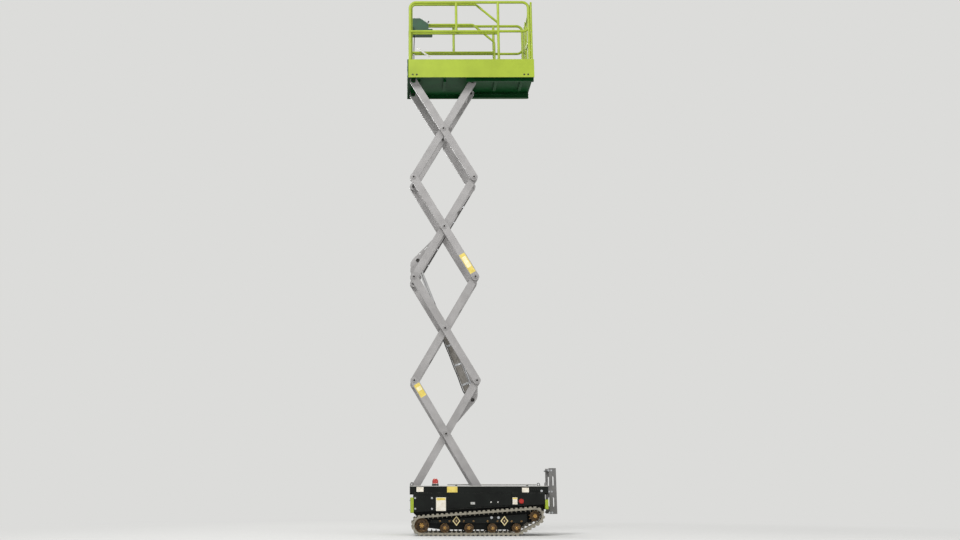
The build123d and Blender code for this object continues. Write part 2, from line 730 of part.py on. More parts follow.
EYE_X = 905.0
EYE_REAR_X = -815.0
EYE_HOLE_R = 12.5
EYE_T = 14.0
EYE_RISE = 26.0
with BuildPart() as lashing_eyes:
    for eye_x in (EYE_X, EYE_REAR_X):
        with BuildSketch(side_plane(CHASSIS_HALF - 8)):
            with Locations((eye_x, CHASSIS_TOP + EYE_RISE / 2)):
                Rectangle(44, EYE_RISE)
            with Locations((eye_x, CHASSIS_TOP + EYE_RISE)):
                Circle(22)
                Circle(EYE_HOLE_R, mode=Mode.SUBTRACT)
        extrude(amount=EYE_T)
    mirror(about=Plane.XZ)
save(lashing_eyes, "lashing_eyes")

# ---------------------------------------------------------------- ladder

LADDER_HALF = 200.0
LADDER_T = 12.0
LADDER_TOP = 853.0
LADDER_LOW = 268.0
LADDER_TOP_X = -884.0
LADDER_LOW_X = -880.0
LADDER_TOP_W = 91.0
LADDER_LOW_W = 99.0
RUNG_ZS = (286.0, 552.0, 822.0)
RUNG_T = 26.0
TREAD_RIB = 7.0             # upstand along both edges of a step
LADDER_SLOT_H = 120.0
LADDER_SLOT_W = 26.0
FOOT_H = 80.0
FOOT_Z = CHASSIS_TOP - FOOT_H / 2 - 14


def ladder_x(z):
    """Front edge of the leaning side plates."""
    return LADDER_LOW_X + (LADDER_TOP_X - LADDER_LOW_X) * (z - LADDER_LOW) / (LADDER_TOP - LADDER_LOW)


def ladder_w(z):
    """Depth of the side plates, which taper downwards."""
    return LADDER_LOW_W + (LADDER_TOP_W - LADDER_LOW_W) * (z - LADDER_LOW) / (LADDER_TOP - LADDER_LOW)


with BuildPart() as ladder:
    with BuildSketch(side_plane(LADDER_HALF)):
        with BuildLine():
            Polyline(
                (ladder_x(LADDER_TOP), LADDER_TOP),
                (ladder_x(LADDER_LOW), LADDER_LOW),
                (ladder_x(LADDER_LOW) - LADDER_LOW_W, LADDER_LOW),
                (ladder_x(LADDER_TOP) - LADDER_TOP_W, LADDER_TOP),
                close=True,
            )
        make_face()
        for slot_z in ((RUNG_ZS[0] + RUNG_ZS[1]) / 2, (RUNG_ZS[1] + RUNG_ZS[2]) / 2):
            with Locations((ladder_x(slot_z) - ladder_w(slot_z) / 2, slot_z)):
                SlotOverall(LADDER_SLOT_H, LADDER_SLOT_W, rotation=90, mode=Mode.SUBTRACT)
    extrude(amount=LADDER_T)
    mirror(about=Plane.XZ)
    for rung_z in RUNG_ZS:
        with BuildSketch(Plane.XY.offset(rung_z)):
            with Locations((ladder_x(rung_z) - ladder_w(rung_z) / 2, 0)):
                Rectangle(ladder_w(rung_z) - 8, 2 * LADDER_HALF - 4)
        extrude(amount=RUNG_T)
        with BuildSketch(Plane.XY.offset(rung_z + RUNG_T - TREAD_RIB)):
            with Locations((ladder_x(rung_z) - ladder_w(rung_z) / 2, 0)):
                Rectangle(ladder_w(rung_z) - 8 - 2 * TREAD_RIB, 2 * (LADDER_HALF - LADDER_T))
        extrude(amount=TREAD_RIB, mode=Mode.SUBTRACT)
    # feet that bolt to the rear beam
    with BuildSketch(Plane.YZ.offset(CHASSIS_REAR)):
        with Locations((LADDER_HALF - LADDER_T / 2, FOOT_Z), (-LADDER_HALF + LADDER_T / 2, FOOT_Z)):
            Rectangle(LADDER_T, FOOT_H)
    extrude(amount=ladder_x(FOOT_Z) - CHASSIS_REAR - 4)
save(ladder, "ladder")

# ---------------------------------------------------------------- undercarriage

TRACK_T = BELT_T + LUG_H
TRACK_MID_Y = TRACK_INNER_Y + TRACK_W / 2
ROLLER_Z = TRACK_T + TRACK_ROLLER_R
IDLER_Z = IDLER_TIP_R
IDLER_R = IDLER_TIP_R - TRACK_T
# the teeth keep the lugs' pitch on the outer face of the belt
SPROCKET_R = TEETH * LUG_PITCH / (2 * pi) - BELT_T


def circles(idler_x):
    """The three circles that the belt's inner line goes round: x, z, radius."""
    return (
        (idler_x, IDLER_Z, IDLER_R),
        (SPROCKET_X, SPROCKET_Z, SPROCKET_R),
        (ROLLER_XS[-1], ROLLER_Z, TRACK_ROLLER_R),
    )


def tangent_angle(first, second):
    """Angle of the outward normal of the belt's run from one circle to the next."""
    dx = second[0] - first[0]
    dz = second[1] - first[1]
    return atan2(dz, dx) - acos((first[2] - second[2]) / hypot(dx, dz))


def loop_runs(wraps, offset):
    """The loop at an offset from the belt's inner line: arcs and straight runs, as
    (kind, centre, start angle, turn, radius) and (kind, start point, end point)."""
    angles = [tangent_angle(wraps[i], wraps[(i + 1) % 3]) for i in range(3)]
    runs = []
    for i, (x, z, radius) in enumerate(wraps):
        start = angles[i - 1]
        a = angles[i]
        r = radius + offset
        runs.append(("arc", (x, z), start, (a - start) % (2 * pi), r))
        nx, nz, nr = wraps[(i + 1) % 3]
        begin = (x + r * cos(a), z + r * sin(a))
        end = (nx + (nr + offset) * cos(a), nz + (nr + offset) * sin(a))
        runs.append(("line", begin, end))
    return runs


def run_length(run):
    """Length of one arc or straight run."""
    if run[0] == "arc":
        return run[3] * run[4]
    return hypot(run[2][0] - run[1][0], run[2][1] - run[1][1])


def belt_length(idler_x):
    """Length of the belt's outer face with the idler at a place."""
    return sum(run_length(run) for run in loop_runs(circles(idler_x), BELT_T))


# the belt has whole lugs, and the idler is set forward or back until it is taut
LUGS = round(belt_length(IDLER_X) / LUG_PITCH)
idler_x = IDLER_X
for _ in range(12):
    idler_x += (LUGS * LUG_PITCH - belt_length(idler_x)) / 2
WRAPS = circles(idler_x)


def loop_point(along, offset):
    """Point on the offset loop; the distance along it is measured on the belt's outer face."""
    left = along % (LUGS * LUG_PITCH)
    for base, shifted in zip(loop_runs(WRAPS, BELT_T), loop_runs(WRAPS, offset)):
        length = run_length(base)
        if left > length:
            left -= length
        elif base[0] == "arc":
            angle = base[2] + left / base[4]
            return (base[1][0] + shifted[4] * cos(angle), base[1][1] + shifted[4] * sin(angle))
        else:
            t = left / length
            (x0, z0), (x1, z1) = shifted[1:]
            return (x0 + t * (x1 - x0), z0 + t * (z1 - z0))
    return loop_point(0.0, offset)


def drive_lug(middle):
    """Outline of a guide lug, square to the belt's inside at its middle."""
    (x0, z0), (x1, z1) = loop_point(middle, 1.0), loop_point(middle, -DRIVE_LUG_H)
    reach = hypot(x1 - x0, z1 - z0)
    ux, uz = (z1 - z0) / reach, -(x1 - x0) / reach
    return [
        (x + share * ux, z + share * uz)
        for x, z, share in (
            (x0, z0, -DRIVE_LUG_ROOT / 2),
            (x1, z1, -DRIVE_LUG_TIP / 2),
            (x1, z1, DRIVE_LUG_TIP / 2),
            (x0, z0, DRIVE_LUG_ROOT / 2),
        )
    ]


tread_line = []
for lug in range(LUGS):
    middle = (lug + 0.5) * LUG_PITCH
    tread_line += [
        loop_point(middle - LUG_ROOT / 2, BELT_T),
        loop_point(middle - LUG_TIP / 2, TRACK_T),
        loop_point(middle + LUG_TIP / 2, TRACK_T),
        loop_point(middle + LUG_ROOT / 2, BELT_T),
    ]

for side, name in ((1, "left"), (-1, "right")):
    with BuildPart() as track:
        with BuildSketch(side_plane(TRACK_INNER_Y + TRACK_W)):
            with BuildLine():
                Polyline(*tread_line, close=True)
            make_face()
            with BuildLine():
                for run in loop_runs(WRAPS, 0):
                    if run[0] == "arc":
                        CenterArc(run[1], run[4], degrees(run[2]), degrees(run[3]))
                    else:
                        Line(run[1], run[2])
            make_face(mode=Mode.SUBTRACT)
        extrude(amount=TRACK_W)
        with BuildSketch(side_plane(TRACK_MID_Y + DRIVE_LUG_W / 2)):
            for lug in range(LUGS):
                with BuildLine():
                    Polyline(*drive_lug((lug + 0.5) * LUG_PITCH), close=True)
                make_face()
        extrude(amount=DRIVE_LUG_W)
        if side < 0:
            mirror(about=Plane.XZ, mode=Mode.REPLACE)
    save(track, f"track_{name}")

GROOVE_HALF = DRIVE_LUG_W / 2 + LUG_CLEAR
GROOVE_DEEP = DRIVE_LUG_H + LUG_CLEAR
AXLE_R = 17.0
AXLE_END = TRACK_ROLLER_W / 2      # inner ends of the idlers' and rollers' axles


def turned_pairs(places, profile):
    """Like wheels on both sides: a profile of (out from the belt's middle, radius) pairs,
    from the outer face inwards, turned about the wheels' axis at each (x, z) place."""
    with BuildPart() as wheels:
        for x, z in places:
            with BuildSketch(Plane.YZ.offset(x)):
                with BuildLine():
                    points = [(TRACK_MID_Y + out, z + r) for out, r in profile]
                    ends = [(points[-1][0], z), (points[0][0], z)]
                    Polyline(*points, *ends, close=True)
                make_face()
            revolve(axis=Axis((x, 0, z), (0, 1, 0)))
        mirror(about=Plane.XZ)
    return wheels


IDLER_RIM_R = IDLER_R - SEAT
front_idlers = turned_pairs(
    [(idler_x, IDLER_Z)],
    (
        (IDLER_W / 2 + 12, AXLE_R),
        (IDLER_W / 2 + 12, 30),
        (IDLER_W / 2 - 10, 36),
        (IDLER_W / 2 - 14, IDLER_RIM_R - 20),
        (IDLER_W / 2, IDLER_RIM_R - 12),
        (IDLER_W / 2, IDLER_RIM_R),
        (GROOVE_HALF, IDLER_RIM_R),
        (GROOVE_HALF, IDLER_RIM_R - GROOVE_DEEP),
        (-GROOVE_HALF, IDLER_RIM_R - GROOVE_DEEP),
        (-GROOVE_HALF, IDLER_RIM_R),
        (-IDLER_W / 2, IDLER_RIM_R),
        (-IDLER_W / 2, AXLE_R),
        (-AXLE_END, AXLE_R),
    ),
)
save(front_idlers, "front_idlers")

ROLLER_RIM_R = TRACK_ROLLER_R - SEAT
track_rollers = turned_pairs(
    [(x, ROLLER_Z) for x in ROLLER_XS],
    (
        (TRACK_ROLLER_W / 2 + 10, AXLE_R),
        (TRACK_ROLLER_W / 2 + 10, 24),
        (TRACK_ROLLER_W / 2 - 5, 27),
        (TRACK_ROLLER_W / 2 - 8, ROLLER_RIM_R - 15),
        (TRACK_ROLLER_W / 2, ROLLER_RIM_R - 9),
        (TRACK_ROLLER_W / 2, ROLLER_RIM_R),
        (GROOVE_HALF, ROLLER_RIM_R),
        (GROOVE_HALF, ROLLER_RIM_R - GROOVE_DEEP),
        (-GROOVE_HALF, ROLLER_RIM_R - GROOVE_DEEP),
        (-GROOVE_HALF, ROLLER_RIM_R),
        (-AXLE_END, ROLLER_RIM_R),
    ),
)
save(track_rollers, "track_rollers")

# drive sprockets: a toothed disc between the belt's lugs, its hub and ring of lightening holes
DISC_ROOT_R = SPROCKET_R - DRIVE_LUG_H - 1.5
TOOTH_H = SPROCKET_R - 1 - DISC_ROOT_R
HUB_R = 38.0
HUB_OUT = 40.0
DISC_HOLE_R = 5.0
to_sprocket = run_length(loop_runs(WRAPS, BELT_T)[0]) + run_length(loop_runs(WRAPS, BELT_T)[1])
gap_x, gap_z = loop_point(ceil(to_sprocket / LUG_PITCH + 2) * LUG_PITCH, 0)
TOOTH_ANGLE = degrees(atan2(gap_z - SPROCKET_Z, gap_x - SPROCKET_X))

with BuildPart() as drive_sprockets:
    with BuildSketch(side_plane(TRACK_MID_Y + DISC_T / 2)):
        with Locations((SPROCKET_X, SPROCKET_Z)):
            Circle(DISC_ROOT_R)
            with PolarLocations(DISC_ROOT_R - 2, TEETH, start_angle=TOOTH_ANGLE):
                Trapezoid(TOOTH_ROOT, TOOTH_H + 2, TOOTH_LEAN, rotation=-90, align=(Align.CENTER, Align.MIN))
            with PolarLocations(HUB_R + 9, TEETH, start_angle=TOOTH_ANGLE):
                Circle(DISC_HOLE_R, mode=Mode.SUBTRACT)
    extrude(amount=DISC_T)
    for hub_r, hub_out in ((HUB_R, HUB_OUT - 12), (HUB_R - 12, HUB_OUT)):
        with BuildSketch(side_plane(TRACK_MID_Y + hub_out)):
            with Locations((SPROCKET_X, SPROCKET_Z)):
                Circle(hub_r)
                Circle(hub_r - 12, mode=Mode.SUBTRACT)
        extrude(amount=hub_out)
    mirror(about=Plane.XZ)
save(drive_sprockets, "drive_sprockets")

# final drives: the motor's stepped housing from the hull to the sprocket
DRIVE_R = 70.0
DRIVE_FACE = TRACK_MID_Y - DISC_T / 2 - SEAT
with BuildPart() as final_drives:
    for drive_r, face_y in ((DRIVE_R, TRACK_MID_Y - GROOVE_HALF - LUG_CLEAR), (DISC_ROOT_R - 6, DRIVE_FACE)):
        reach = face_y - HULL_HALF
        with BuildSketch(side_plane(HULL_HALF + reach)):
            with Locations((SPROCKET_X, SPROCKET_Z)):
                Circle(drive_r)
        extrude(amount=reach)
    mirror(about=Plane.XZ)
save(final_drives, "final_drives")

# track frames: a beam over the rollers, plates behind them, and the cross axles
FRAME_IN = TRACK_MID_Y - AXLE_END - SEAT
PLATE_T = 12.0
BEAM_OUT = TRACK_MID_Y + 40
BEAM_LOW = ROLLER_Z + TRACK_ROLLER_R + 7
BEAM_FRONT_H = 30.0
BEAM_REAR_H = 108.0
BEAM_FRONT = idler_x - 110
BEAM_REAR = SPROCKET_X + 110
CROSS_R = 32.0
with BuildPart() as track_frames:
    with BuildSketch(side_plane(BEAM_OUT)):
        with BuildLine():
            Polyline(
                (BEAM_FRONT, BEAM_LOW),
                (BEAM_FRONT, BEAM_LOW + BEAM_FRONT_H),
                (BEAM_REAR, BEAM_LOW + BEAM_REAR_H),
                (BEAM_REAR, BEAM_LOW + 10),
                (BEAM_REAR + 65, BEAM_LOW),
                close=True,
            )
        make_face()
    extrude(amount=BEAM_OUT - FRAME_IN + PLATE_T)
    with BuildSketch(side_plane(FRAME_IN)):
        with BuildLine():
            Polyline(
                (idler_x, IDLER_Z - 24),
                (idler_x + 24, IDLER_Z),
                (idler_x, IDLER_Z + 24),
                (BEAM_FRONT, BEAM_LOW + BEAM_FRONT_H),
                (BEAM_REAR, BEAM_LOW + BEAM_REAR_H),
                (BEAM_REAR, BEAM_LOW),
                (ROLLER_XS[-1] - 30, ROLLER_Z - 20),
                (ROLLER_XS[0] + 30, ROLLER_Z - 20),
                close=True,
            )
        make_face()
    extrude(amount=PLATE_T)
    with BuildSketch(side_plane(FRAME_IN - PLATE_T)):
        with Locations(
            (ROLLER_XS[0] - 90, BEAM_LOW + BEAM_FRONT_H + 24),
            (ROLLER_XS[-1] + 94, BEAM_LOW + BEAM_REAR_H - 34),
        ):
            Circle(CROSS_R)
    extrude(amount=FRAME_IN - PLATE_T - HULL_HALF)
    mirror(about=Plane.XZ)
save(track_frames, "track_frames")

# ---------------------------------------------------------------- platform

TOE_LOW = TOP_PIVOT_Z - TOE_BELOW
TOE_TOP = TOE_LOW + TOE_HEIGHT
TOE_IN = DECK_HALF - TOE_T
DECK_EAR_IN = OUTER_Y - ARM_WIDTH / 2 - SEAT
DECK_EAR_OUT = OUTER_FACE + SEAT
DECK_EAR_T = 14.0
DECK_CHANNEL_FRONT = REAR_PIVOT_X + 90
RIBS = 5
RIB_H = 30.0
RIB_W = 40.0
RIB_END = 150.0             # first rib from the deck's end
RIB_CLEAR = 10.0            # rib to the inner arms

with BuildPart() as deck_frame:
    with BuildSketch(Plane.XY.offset(DECK_LOW)):
        with Locations(((DECK_FRONT + DECK_REAR) / 2, 0)):
            Rectangle(DECK_FRONT - DECK_REAR, 2 * TOE_IN)
    extrude(amount=DECK_T)
    # channels for the rollers
    with BuildSketch(Plane.YZ.offset(DECK_REAR)):
        with Locations(((CHANNEL_IN + CHANNEL_WEB + RAIL_T) / 2, TOP_PIVOT_Z)):
            Rectangle(CHANNEL_WEB + RAIL_T - CHANNEL_IN, 2 * (CHANNEL_HALF + RAIL_T))
        with Locations(((CHANNEL_IN + CHANNEL_WEB) / 2, TOP_PIVOT_Z)):
            Rectangle(CHANNEL_WEB - CHANNEL_IN, 2 * CHANNEL_HALF, mode=Mode.SUBTRACT)
        with Locations((CHANNEL_WEB + RAIL_T / 2, (TOP_PIVOT_Z + DECK_LOW) / 2)):
            Rectangle(RAIL_T, DECK_LOW - TOP_PIVOT_Z)
    extrude(amount=DECK_CHANNEL_FRONT - DECK_REAR)
    # ears of the fixed front pivots
    for ear_y in (DECK_EAR_IN, DECK_EAR_OUT + DECK_EAR_T):
        with BuildSketch(side_plane(ear_y)):
            with BuildLine():
                Line((FRONT_PIVOT_X - EAR_R, DECK_LOW), (FRONT_PIVOT_X - EAR_R, TOP_PIVOT_Z))
                ThreePointArc(
                    (FRONT_PIVOT_X - EAR_R, TOP_PIVOT_Z),
                    (FRONT_PIVOT_X, TOP_PIVOT_Z - EAR_R),
                    (FRONT_PIVOT_X + EAR_R, TOP_PIVOT_Z),
                )
                Line((FRONT_PIVOT_X + EAR_R, TOP_PIVOT_Z), (FRONT_PIVOT_X + EAR_R, DECK_LOW))
                Line((FRONT_PIVOT_X + EAR_R, DECK_LOW), (FRONT_PIVOT_X - EAR_R, DECK_LOW))
            make_face()
            with Locations((FRONT_PIVOT_X, TOP_PIVOT_Z)):
                Circle(PIN_R + FIT, mode=Mode.SUBTRACT)
        extrude(amount=DECK_EAR_T)
    # edge angle against the toe plates
    with BuildSketch(Plane.XY.offset(TOE_LOW)):
        with Locations(((DECK_FRONT + DECK_REAR) / 2, TOE_IN - RAIL_T / 2)):
            Rectangle(DECK_FRONT - DECK_REAR, RAIL_T)
    extrude(amount=DECK_LOW - TOE_LOW)
    mirror(about=Plane.XZ)
    # ribs down the middle, between the arms
    for rib in range(RIBS):
        rib_x = DECK_REAR + RIB_END + rib * (DECK_FRONT - DECK_REAR - 2 * RIB_END) / (RIBS - 1)
        with BuildSketch(Plane.XY.offset(DECK_LOW - RIB_H)):
            with Locations((rib_x, 0)):
                Rectangle(RIB_W, 2 * (INNER_FACE - RIB_CLEAR))
        extrude(amount=RIB_H)
save(deck_frame, "deck_frame")

with BuildPart() as deck_pins:
    with BuildSketch(outer_plane(STAGES, DECK_EAR_IN - DECK_EAR_T)):
        with Locations((ARM_LENGTH, 0)):
            Circle(PIN_R)
    extrude(amount=DECK_EAR_OUT - DECK_EAR_IN + 2 * DECK_EAR_T)
    mirror(about=Plane.XZ)
save(deck_pins, "deck_pins")

# toe plates: the two long sides, and the rear beside the gate
HOLE_R = 8.0
HOLE_XS = (880.0, 825.0, -662.0, -716.0)
with BuildPart() as toe_plates:
    with BuildSketch(side_plane(DECK_HALF)):
        with Locations(((DECK_FRONT + DECK_REAR) / 2, (TOE_LOW + TOE_TOP) / 2)):
            Rectangle(DECK_FRONT - DECK_REAR, TOE_HEIGHT)
        with Locations(*[(x, TOE_LOW + 40) for x in HOLE_XS]):
            Circle(HOLE_R, mode=Mode.SUBTRACT)
    extrude(amount=TOE_T)
    with BuildSketch(Plane.YZ.offset(DECK_REAR)):
        with Locations(((GATE_HALF + 25 + DECK_HALF) / 2, (DECK_TOP + TOE_TOP) / 2)):
            Rectangle(DECK_HALF - GATE_HALF - 25, TOE_TOP - DECK_TOP)
    extrude(amount=TOE_T)
    mirror(about=Plane.XZ)
save(toe_plates, "toe_plates")


def bent_tube(corners, tube_r, bend_r):
    """Round tube through corner points: straight runs, with a turned bend at each corner."""
    points = [Vector(*corner) for corner in corners]
    with BuildPart() as tube:
        start = points[0]
        for i in range(1, len(points)):
            along = (points[i] - points[i - 1]).normalized()
            end = points[i]
            if i < len(points) - 1:
                onward = (points[i + 1] - points[i]).normalized()
                turn = along.get_angle(onward)
                setback = bend_r * tan(radians(turn / 2))
                end = points[i] - along * setback
            with BuildSketch(Plane(origin=start, z_dir=along)):
                Circle(tube_r)
            extrude(amount=(end - start).length)
            if i < len(points) - 1:
                square = along.cross(onward).normalized()
                centre = end + square.cross(along) * bend_r
                with BuildSketch(Plane(origin=end, z_dir=along)):
                    Circle(tube_r)
                revolve(axis=Axis(centre, square), revolution_arc=turn)
                start = points[i] + onward * setback
    return tube


for side, name in ((1, "left"), (-1, "right")):
    with BuildPart() as guard_rail:
        y = RAIL_Y
        add(
            bent_tube(
                (
                    (RAIL_REAR, y, DECK_TOP),
                    (RAIL_REAR, y, RAIL_TOP),
                    (RAIL_FRONT, y, RAIL_TOP),
                    (RAIL_FRONT, y, DECK_TOP),
                ),
                TUBE_R,
                RAIL_BEND,
            ).part
        )
        add(
            bent_tube(
                (
                    (RAIL_FRONT, y, RAIL_MID),
                    (RAIL_REAR, y, RAIL_MID),
                    (RAIL_REAR, y, RAIL_MID + RAIL_BEND + 1),
                ),
                TUBE_R - 1.5,
                RAIL_BEND,
            ).part
        )
        # uprights: place, bottom, top
        for post_x, low, high in (
            (SHORT_POST_X, RAIL_MID, RAIL_TOP),
            (FULL_POST_X, DECK_TOP, RAIL_TOP),
        ):
            with BuildSketch(Plane.XY.offset(low)):
                with Locations((post_x, y)):
                    Circle(TUBE_R - 1)
            extrude(amount=high - low)
        if side < 0:
            mirror(about=Plane.XZ, mode=Mode.REPLACE)
    save(guard_rail, f"guard_rail_{name}")

# fixed rear frame: a post and two short rails beside the gate
POST_Y = GATE_HALF + GATE_TUBE_R + GATE_POST_R + 6
with BuildPart() as rear_rails:
    with BuildSketch(Plane.XY.offset(DECK_TOP)):
        with Locations((GATE_X, POST_Y)):
            Circle(GATE_POST_R)
    extrude(amount=RAIL_TOP - DECK_TOP)
    for rail_z in (RAIL_MID, RAIL_TOP - TUBE_R):
        with BuildSketch(Plane.XZ.offset(-POST_Y)):
            with Locations((GATE_X, rail_z)):
                Circle(GATE_POST_R - 1)
        extrude(amount=-(RAIL_Y - POST_Y + GATE_POST_R))
    with BuildSketch(Plane.XY.offset(DECK_TOP)):
        with Locations((GATE_X, RAIL_Y)):
            Circle(GATE_POST_R - 2)
    extrude(amount=RAIL_TOP - DECK_TOP - TUBE_R)
    mirror(about=Plane.XZ)
    # two rings on the left post, in which the gate's upright turns
    for ring_z in (RAIL_MID - 170, RAIL_MID + 130):
        with BuildSketch(Plane.XY.offset(ring_z)):
            with Locations((GATE_X, (GATE_HALF + POST_Y) / 2)):
                Rectangle(12, POST_Y - GATE_HALF)
            with Locations((GATE_X, GATE_HALF)):
                Circle(GATE_TUBE_R + RING_WALL)
                Circle(GATE_TUBE_R + FIT, mode=Mode.SUBTRACT)
        extrude(amount=RING_H)
save(rear_rails, "rear_rails")

# entry gate: a bent hoop with two bars and a kick plate, hung on its left post
GATE_LOW = DECK_TOP + 20
GATE_TOP = RAIL_TOP - 40
with BuildPart() as entry_gate:
    add(
        bent_tube(
            (
                (GATE_X, GATE_HALF, GATE_LOW),
                (GATE_X, GATE_HALF, GATE_TOP),
                (GATE_X, -GATE_HALF, GATE_TOP),
                (GATE_X, -GATE_HALF, GATE_LOW),
            ),
            GATE_TUBE_R,
            SMALL_BEND,
        ).part
    )
    for bar_z in (RAIL_MID, TOE_TOP + 40):
        with BuildSketch(Plane.XZ.offset(GATE_HALF)):
            with Locations((GATE_X, bar_z)):
                Circle(GATE_TUBE_R - 1)
        extrude(amount=-2 * GATE_HALF)
    with BuildSketch(Plane.YZ.offset(GATE_X - 2)):
        with Locations((0, (GATE_LOW + TOE_TOP) / 2)):
            Rectangle(2 * GATE_HALF, TOE_TOP - GATE_LOW)
    extrude(amount=4)
save(entry_gate, "entry_gate")

# ---------------------------------------------------------------- sliding extension

EXT_LOW = DECK_TOP + EXT_DECK_GAP
EXT_DECK_TOP = EXT_LOW + EXT_DECK_T
EXT_HALF = EXT_Y + EXT_TUBE_R
EXT_REAR = EXT_REAR_POST - EXT_TUBE_R - 4
EXT_NOSE = DECK_FRONT + 15

with BuildPart() as extension_deck:
    with BuildSketch(Plane.XY.offset(EXT_LOW)):
        with Locations(((DECK_FRONT + EXT_REAR) / 2, 0)):
            Rectangle(DECK_FRONT - EXT_REAR, 2 * EXT_HALF)
    extrude(amount=EXT_DECK_T)
    # runners on the main deck
    for runner_y in (-EXT_HALF + 25, EXT_HALF - 25):
        with BuildSketch(Plane.XY.offset(DECK_TOP + SEAT)):
            with Locations(((DECK_FRONT + EXT_REAR) / 2, runner_y)):
                Rectangle(DECK_FRONT - EXT_REAR, 30)
        extrude(amount=EXT_DECK_GAP - SEAT)
    # front toe plate, which closes the platform's end
    with BuildSketch(Plane.YZ.offset(DECK_FRONT + SEAT)):
        with Locations((0, (TOE_LOW + TOE_TOP) / 2)):
            Rectangle(2 * DECK_HALF, TOE_HEIGHT)
    extrude(amount=EXT_NOSE - DECK_FRONT - SEAT)
    with BuildSketch(Plane.YZ.offset(EXT_FRONT + EXT_TUBE_R + SEAT)):
        with Locations((0, (EXT_LOW + TOE_TOP - 30) / 2)):
            Rectangle(2 * EXT_HALF, TOE_TOP - 30 - EXT_LOW)
    extrude(amount=DECK_FRONT - EXT_FRONT - EXT_TUBE_R)
save(extension_deck, "extension_deck")

with BuildPart() as extension_rails:
    y = EXT_Y
    add(
        bent_tube(
            (
                (EXT_FRONT, y, EXT_DECK_TOP),
                (EXT_FRONT, y, EXT_TOP),
                (EXT_KNEE_X, y, EXT_TOP),
                (EXT_REAR_POST, y, EXT_KNEE_Z),
                (EXT_REAR_POST, y, EXT_DECK_TOP),
            ),
            EXT_TUBE_R,
            SMALL_BEND,
        ).part
    )
    with BuildSketch(Plane.YZ.offset(EXT_REAR_POST)):
        with Locations((y, EXT_MID)):
            Circle(EXT_TUBE_R - 1)
    extrude(amount=EXT_FRONT - EXT_REAR_POST)
    mirror(about=Plane.XZ)
    for rail_z in (EXT_MID, EXT_TOP - 75):
        with BuildSketch(Plane.XZ.offset(EXT_Y)):
            with Locations((EXT_FRONT, rail_z)):
                Circle(EXT_TUBE_R - 1)
        extrude(amount=-2 * EXT_Y)
save(extension_rails, "extension_rails")

# control box on the extension's right front corner: a tray, and a console that slopes
# down towards whoever stands behind it
TRAY_LOW = EXT_TOP + CONTROL_RISE - CONSOLE_H - TRAY_H
CONSOLE_LOW = TRAY_LOW + TRAY_H
CONSOLE_TOP = CONSOLE_LOW + CONSOLE_H
CONTROL_Y = EXT_TUBE_R + SEAT - EXT_Y
CONTROL_FRONT = EXT_FRONT - EXT_TUBE_R - SEAT
with BuildPart() as control_box:
    with BuildSketch(Plane.XY.offset(TRAY_LOW)):
        with Locations((CONTROL_FRONT - TRAY_L / 2, CONTROL_Y + CONTROL_W / 2)):
            RectangleRounded(TRAY_L, CONTROL_W, 14)
    extrude(amount=TRAY_H)
    with BuildSketch(side_plane(CONTROL_Y + CONTROL_W - 8)):
        with BuildLine():
            Polyline(
                (CONTROL_FRONT, CONSOLE_LOW),
                (CONTROL_FRONT, CONSOLE_TOP),
                (CONTROL_FRONT - CONSOLE_FLAT, CONSOLE_TOP),
                (CONTROL_FRONT - CONSOLE_L, CONSOLE_LOW + CONSOLE_NOSE),
                (CONTROL_FRONT - CONSOLE_L, CONSOLE_LOW),
                close=True,
            )
        make_face()
    extrude(amount=CONTROL_W - 8)
save(control_box, "control_box")
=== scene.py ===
"""A tracked scissor lift, standing raised on a pale studio floor."""
import json
from math import cos, pi, radians, sin

import bmesh
import bpy
from mathutils import Matrix, Vector


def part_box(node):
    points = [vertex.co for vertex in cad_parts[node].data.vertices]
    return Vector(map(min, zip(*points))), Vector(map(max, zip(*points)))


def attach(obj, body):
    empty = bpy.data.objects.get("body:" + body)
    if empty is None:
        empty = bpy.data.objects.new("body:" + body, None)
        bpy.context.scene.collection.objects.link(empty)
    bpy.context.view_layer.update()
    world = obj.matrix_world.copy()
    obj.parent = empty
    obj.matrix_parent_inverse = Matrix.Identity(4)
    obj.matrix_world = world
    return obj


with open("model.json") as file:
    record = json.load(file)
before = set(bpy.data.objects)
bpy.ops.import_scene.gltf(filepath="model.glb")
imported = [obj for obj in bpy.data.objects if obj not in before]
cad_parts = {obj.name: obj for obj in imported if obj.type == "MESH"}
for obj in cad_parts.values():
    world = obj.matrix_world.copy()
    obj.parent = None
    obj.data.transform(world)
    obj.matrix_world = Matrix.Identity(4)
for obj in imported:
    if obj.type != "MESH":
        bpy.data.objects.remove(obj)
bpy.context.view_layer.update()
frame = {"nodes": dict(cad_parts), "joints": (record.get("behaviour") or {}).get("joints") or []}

# ------------------------------------------------------------ studio
# A long lens stands some fifteen metres off the left side, half a metre above a
# floor of pale studio paper, and is tipped up to take in the raised platform.

LENS_MM = 42.0
SENSOR_MM = 36.0
LENS_SHIFT = (0.0843, -0.0094)
CAMERA_AT = Vector((1.003, 15.071, 0.486))
CAMERA_UP = radians(11.89)
CAMERA_TURN = radians(0.26)
CLEAR_TO = 200.0            # farther than the paper's far edge
PAPER = "DCDCDA"
PAPER_EVEN_FROM = 3.0       # distance from the lift where the paper starts to even out
PAPER_EVEN_BY = 9.0
FLOOR_R = 45.0
FLOOR_STEPS = 96
SKY_STRENGTH = 0.55


def colour(code):
    """Turns an sRGB hex value into the linear colour that shaders take."""
    parts = [int(code[i:i + 2], 16) / 255 for i in (0, 2, 4)]
    return [p / 12.92 if p <= 0.04045 else ((p + 0.055) / 1.055) ** 2.4 for p in parts] + [1.0]


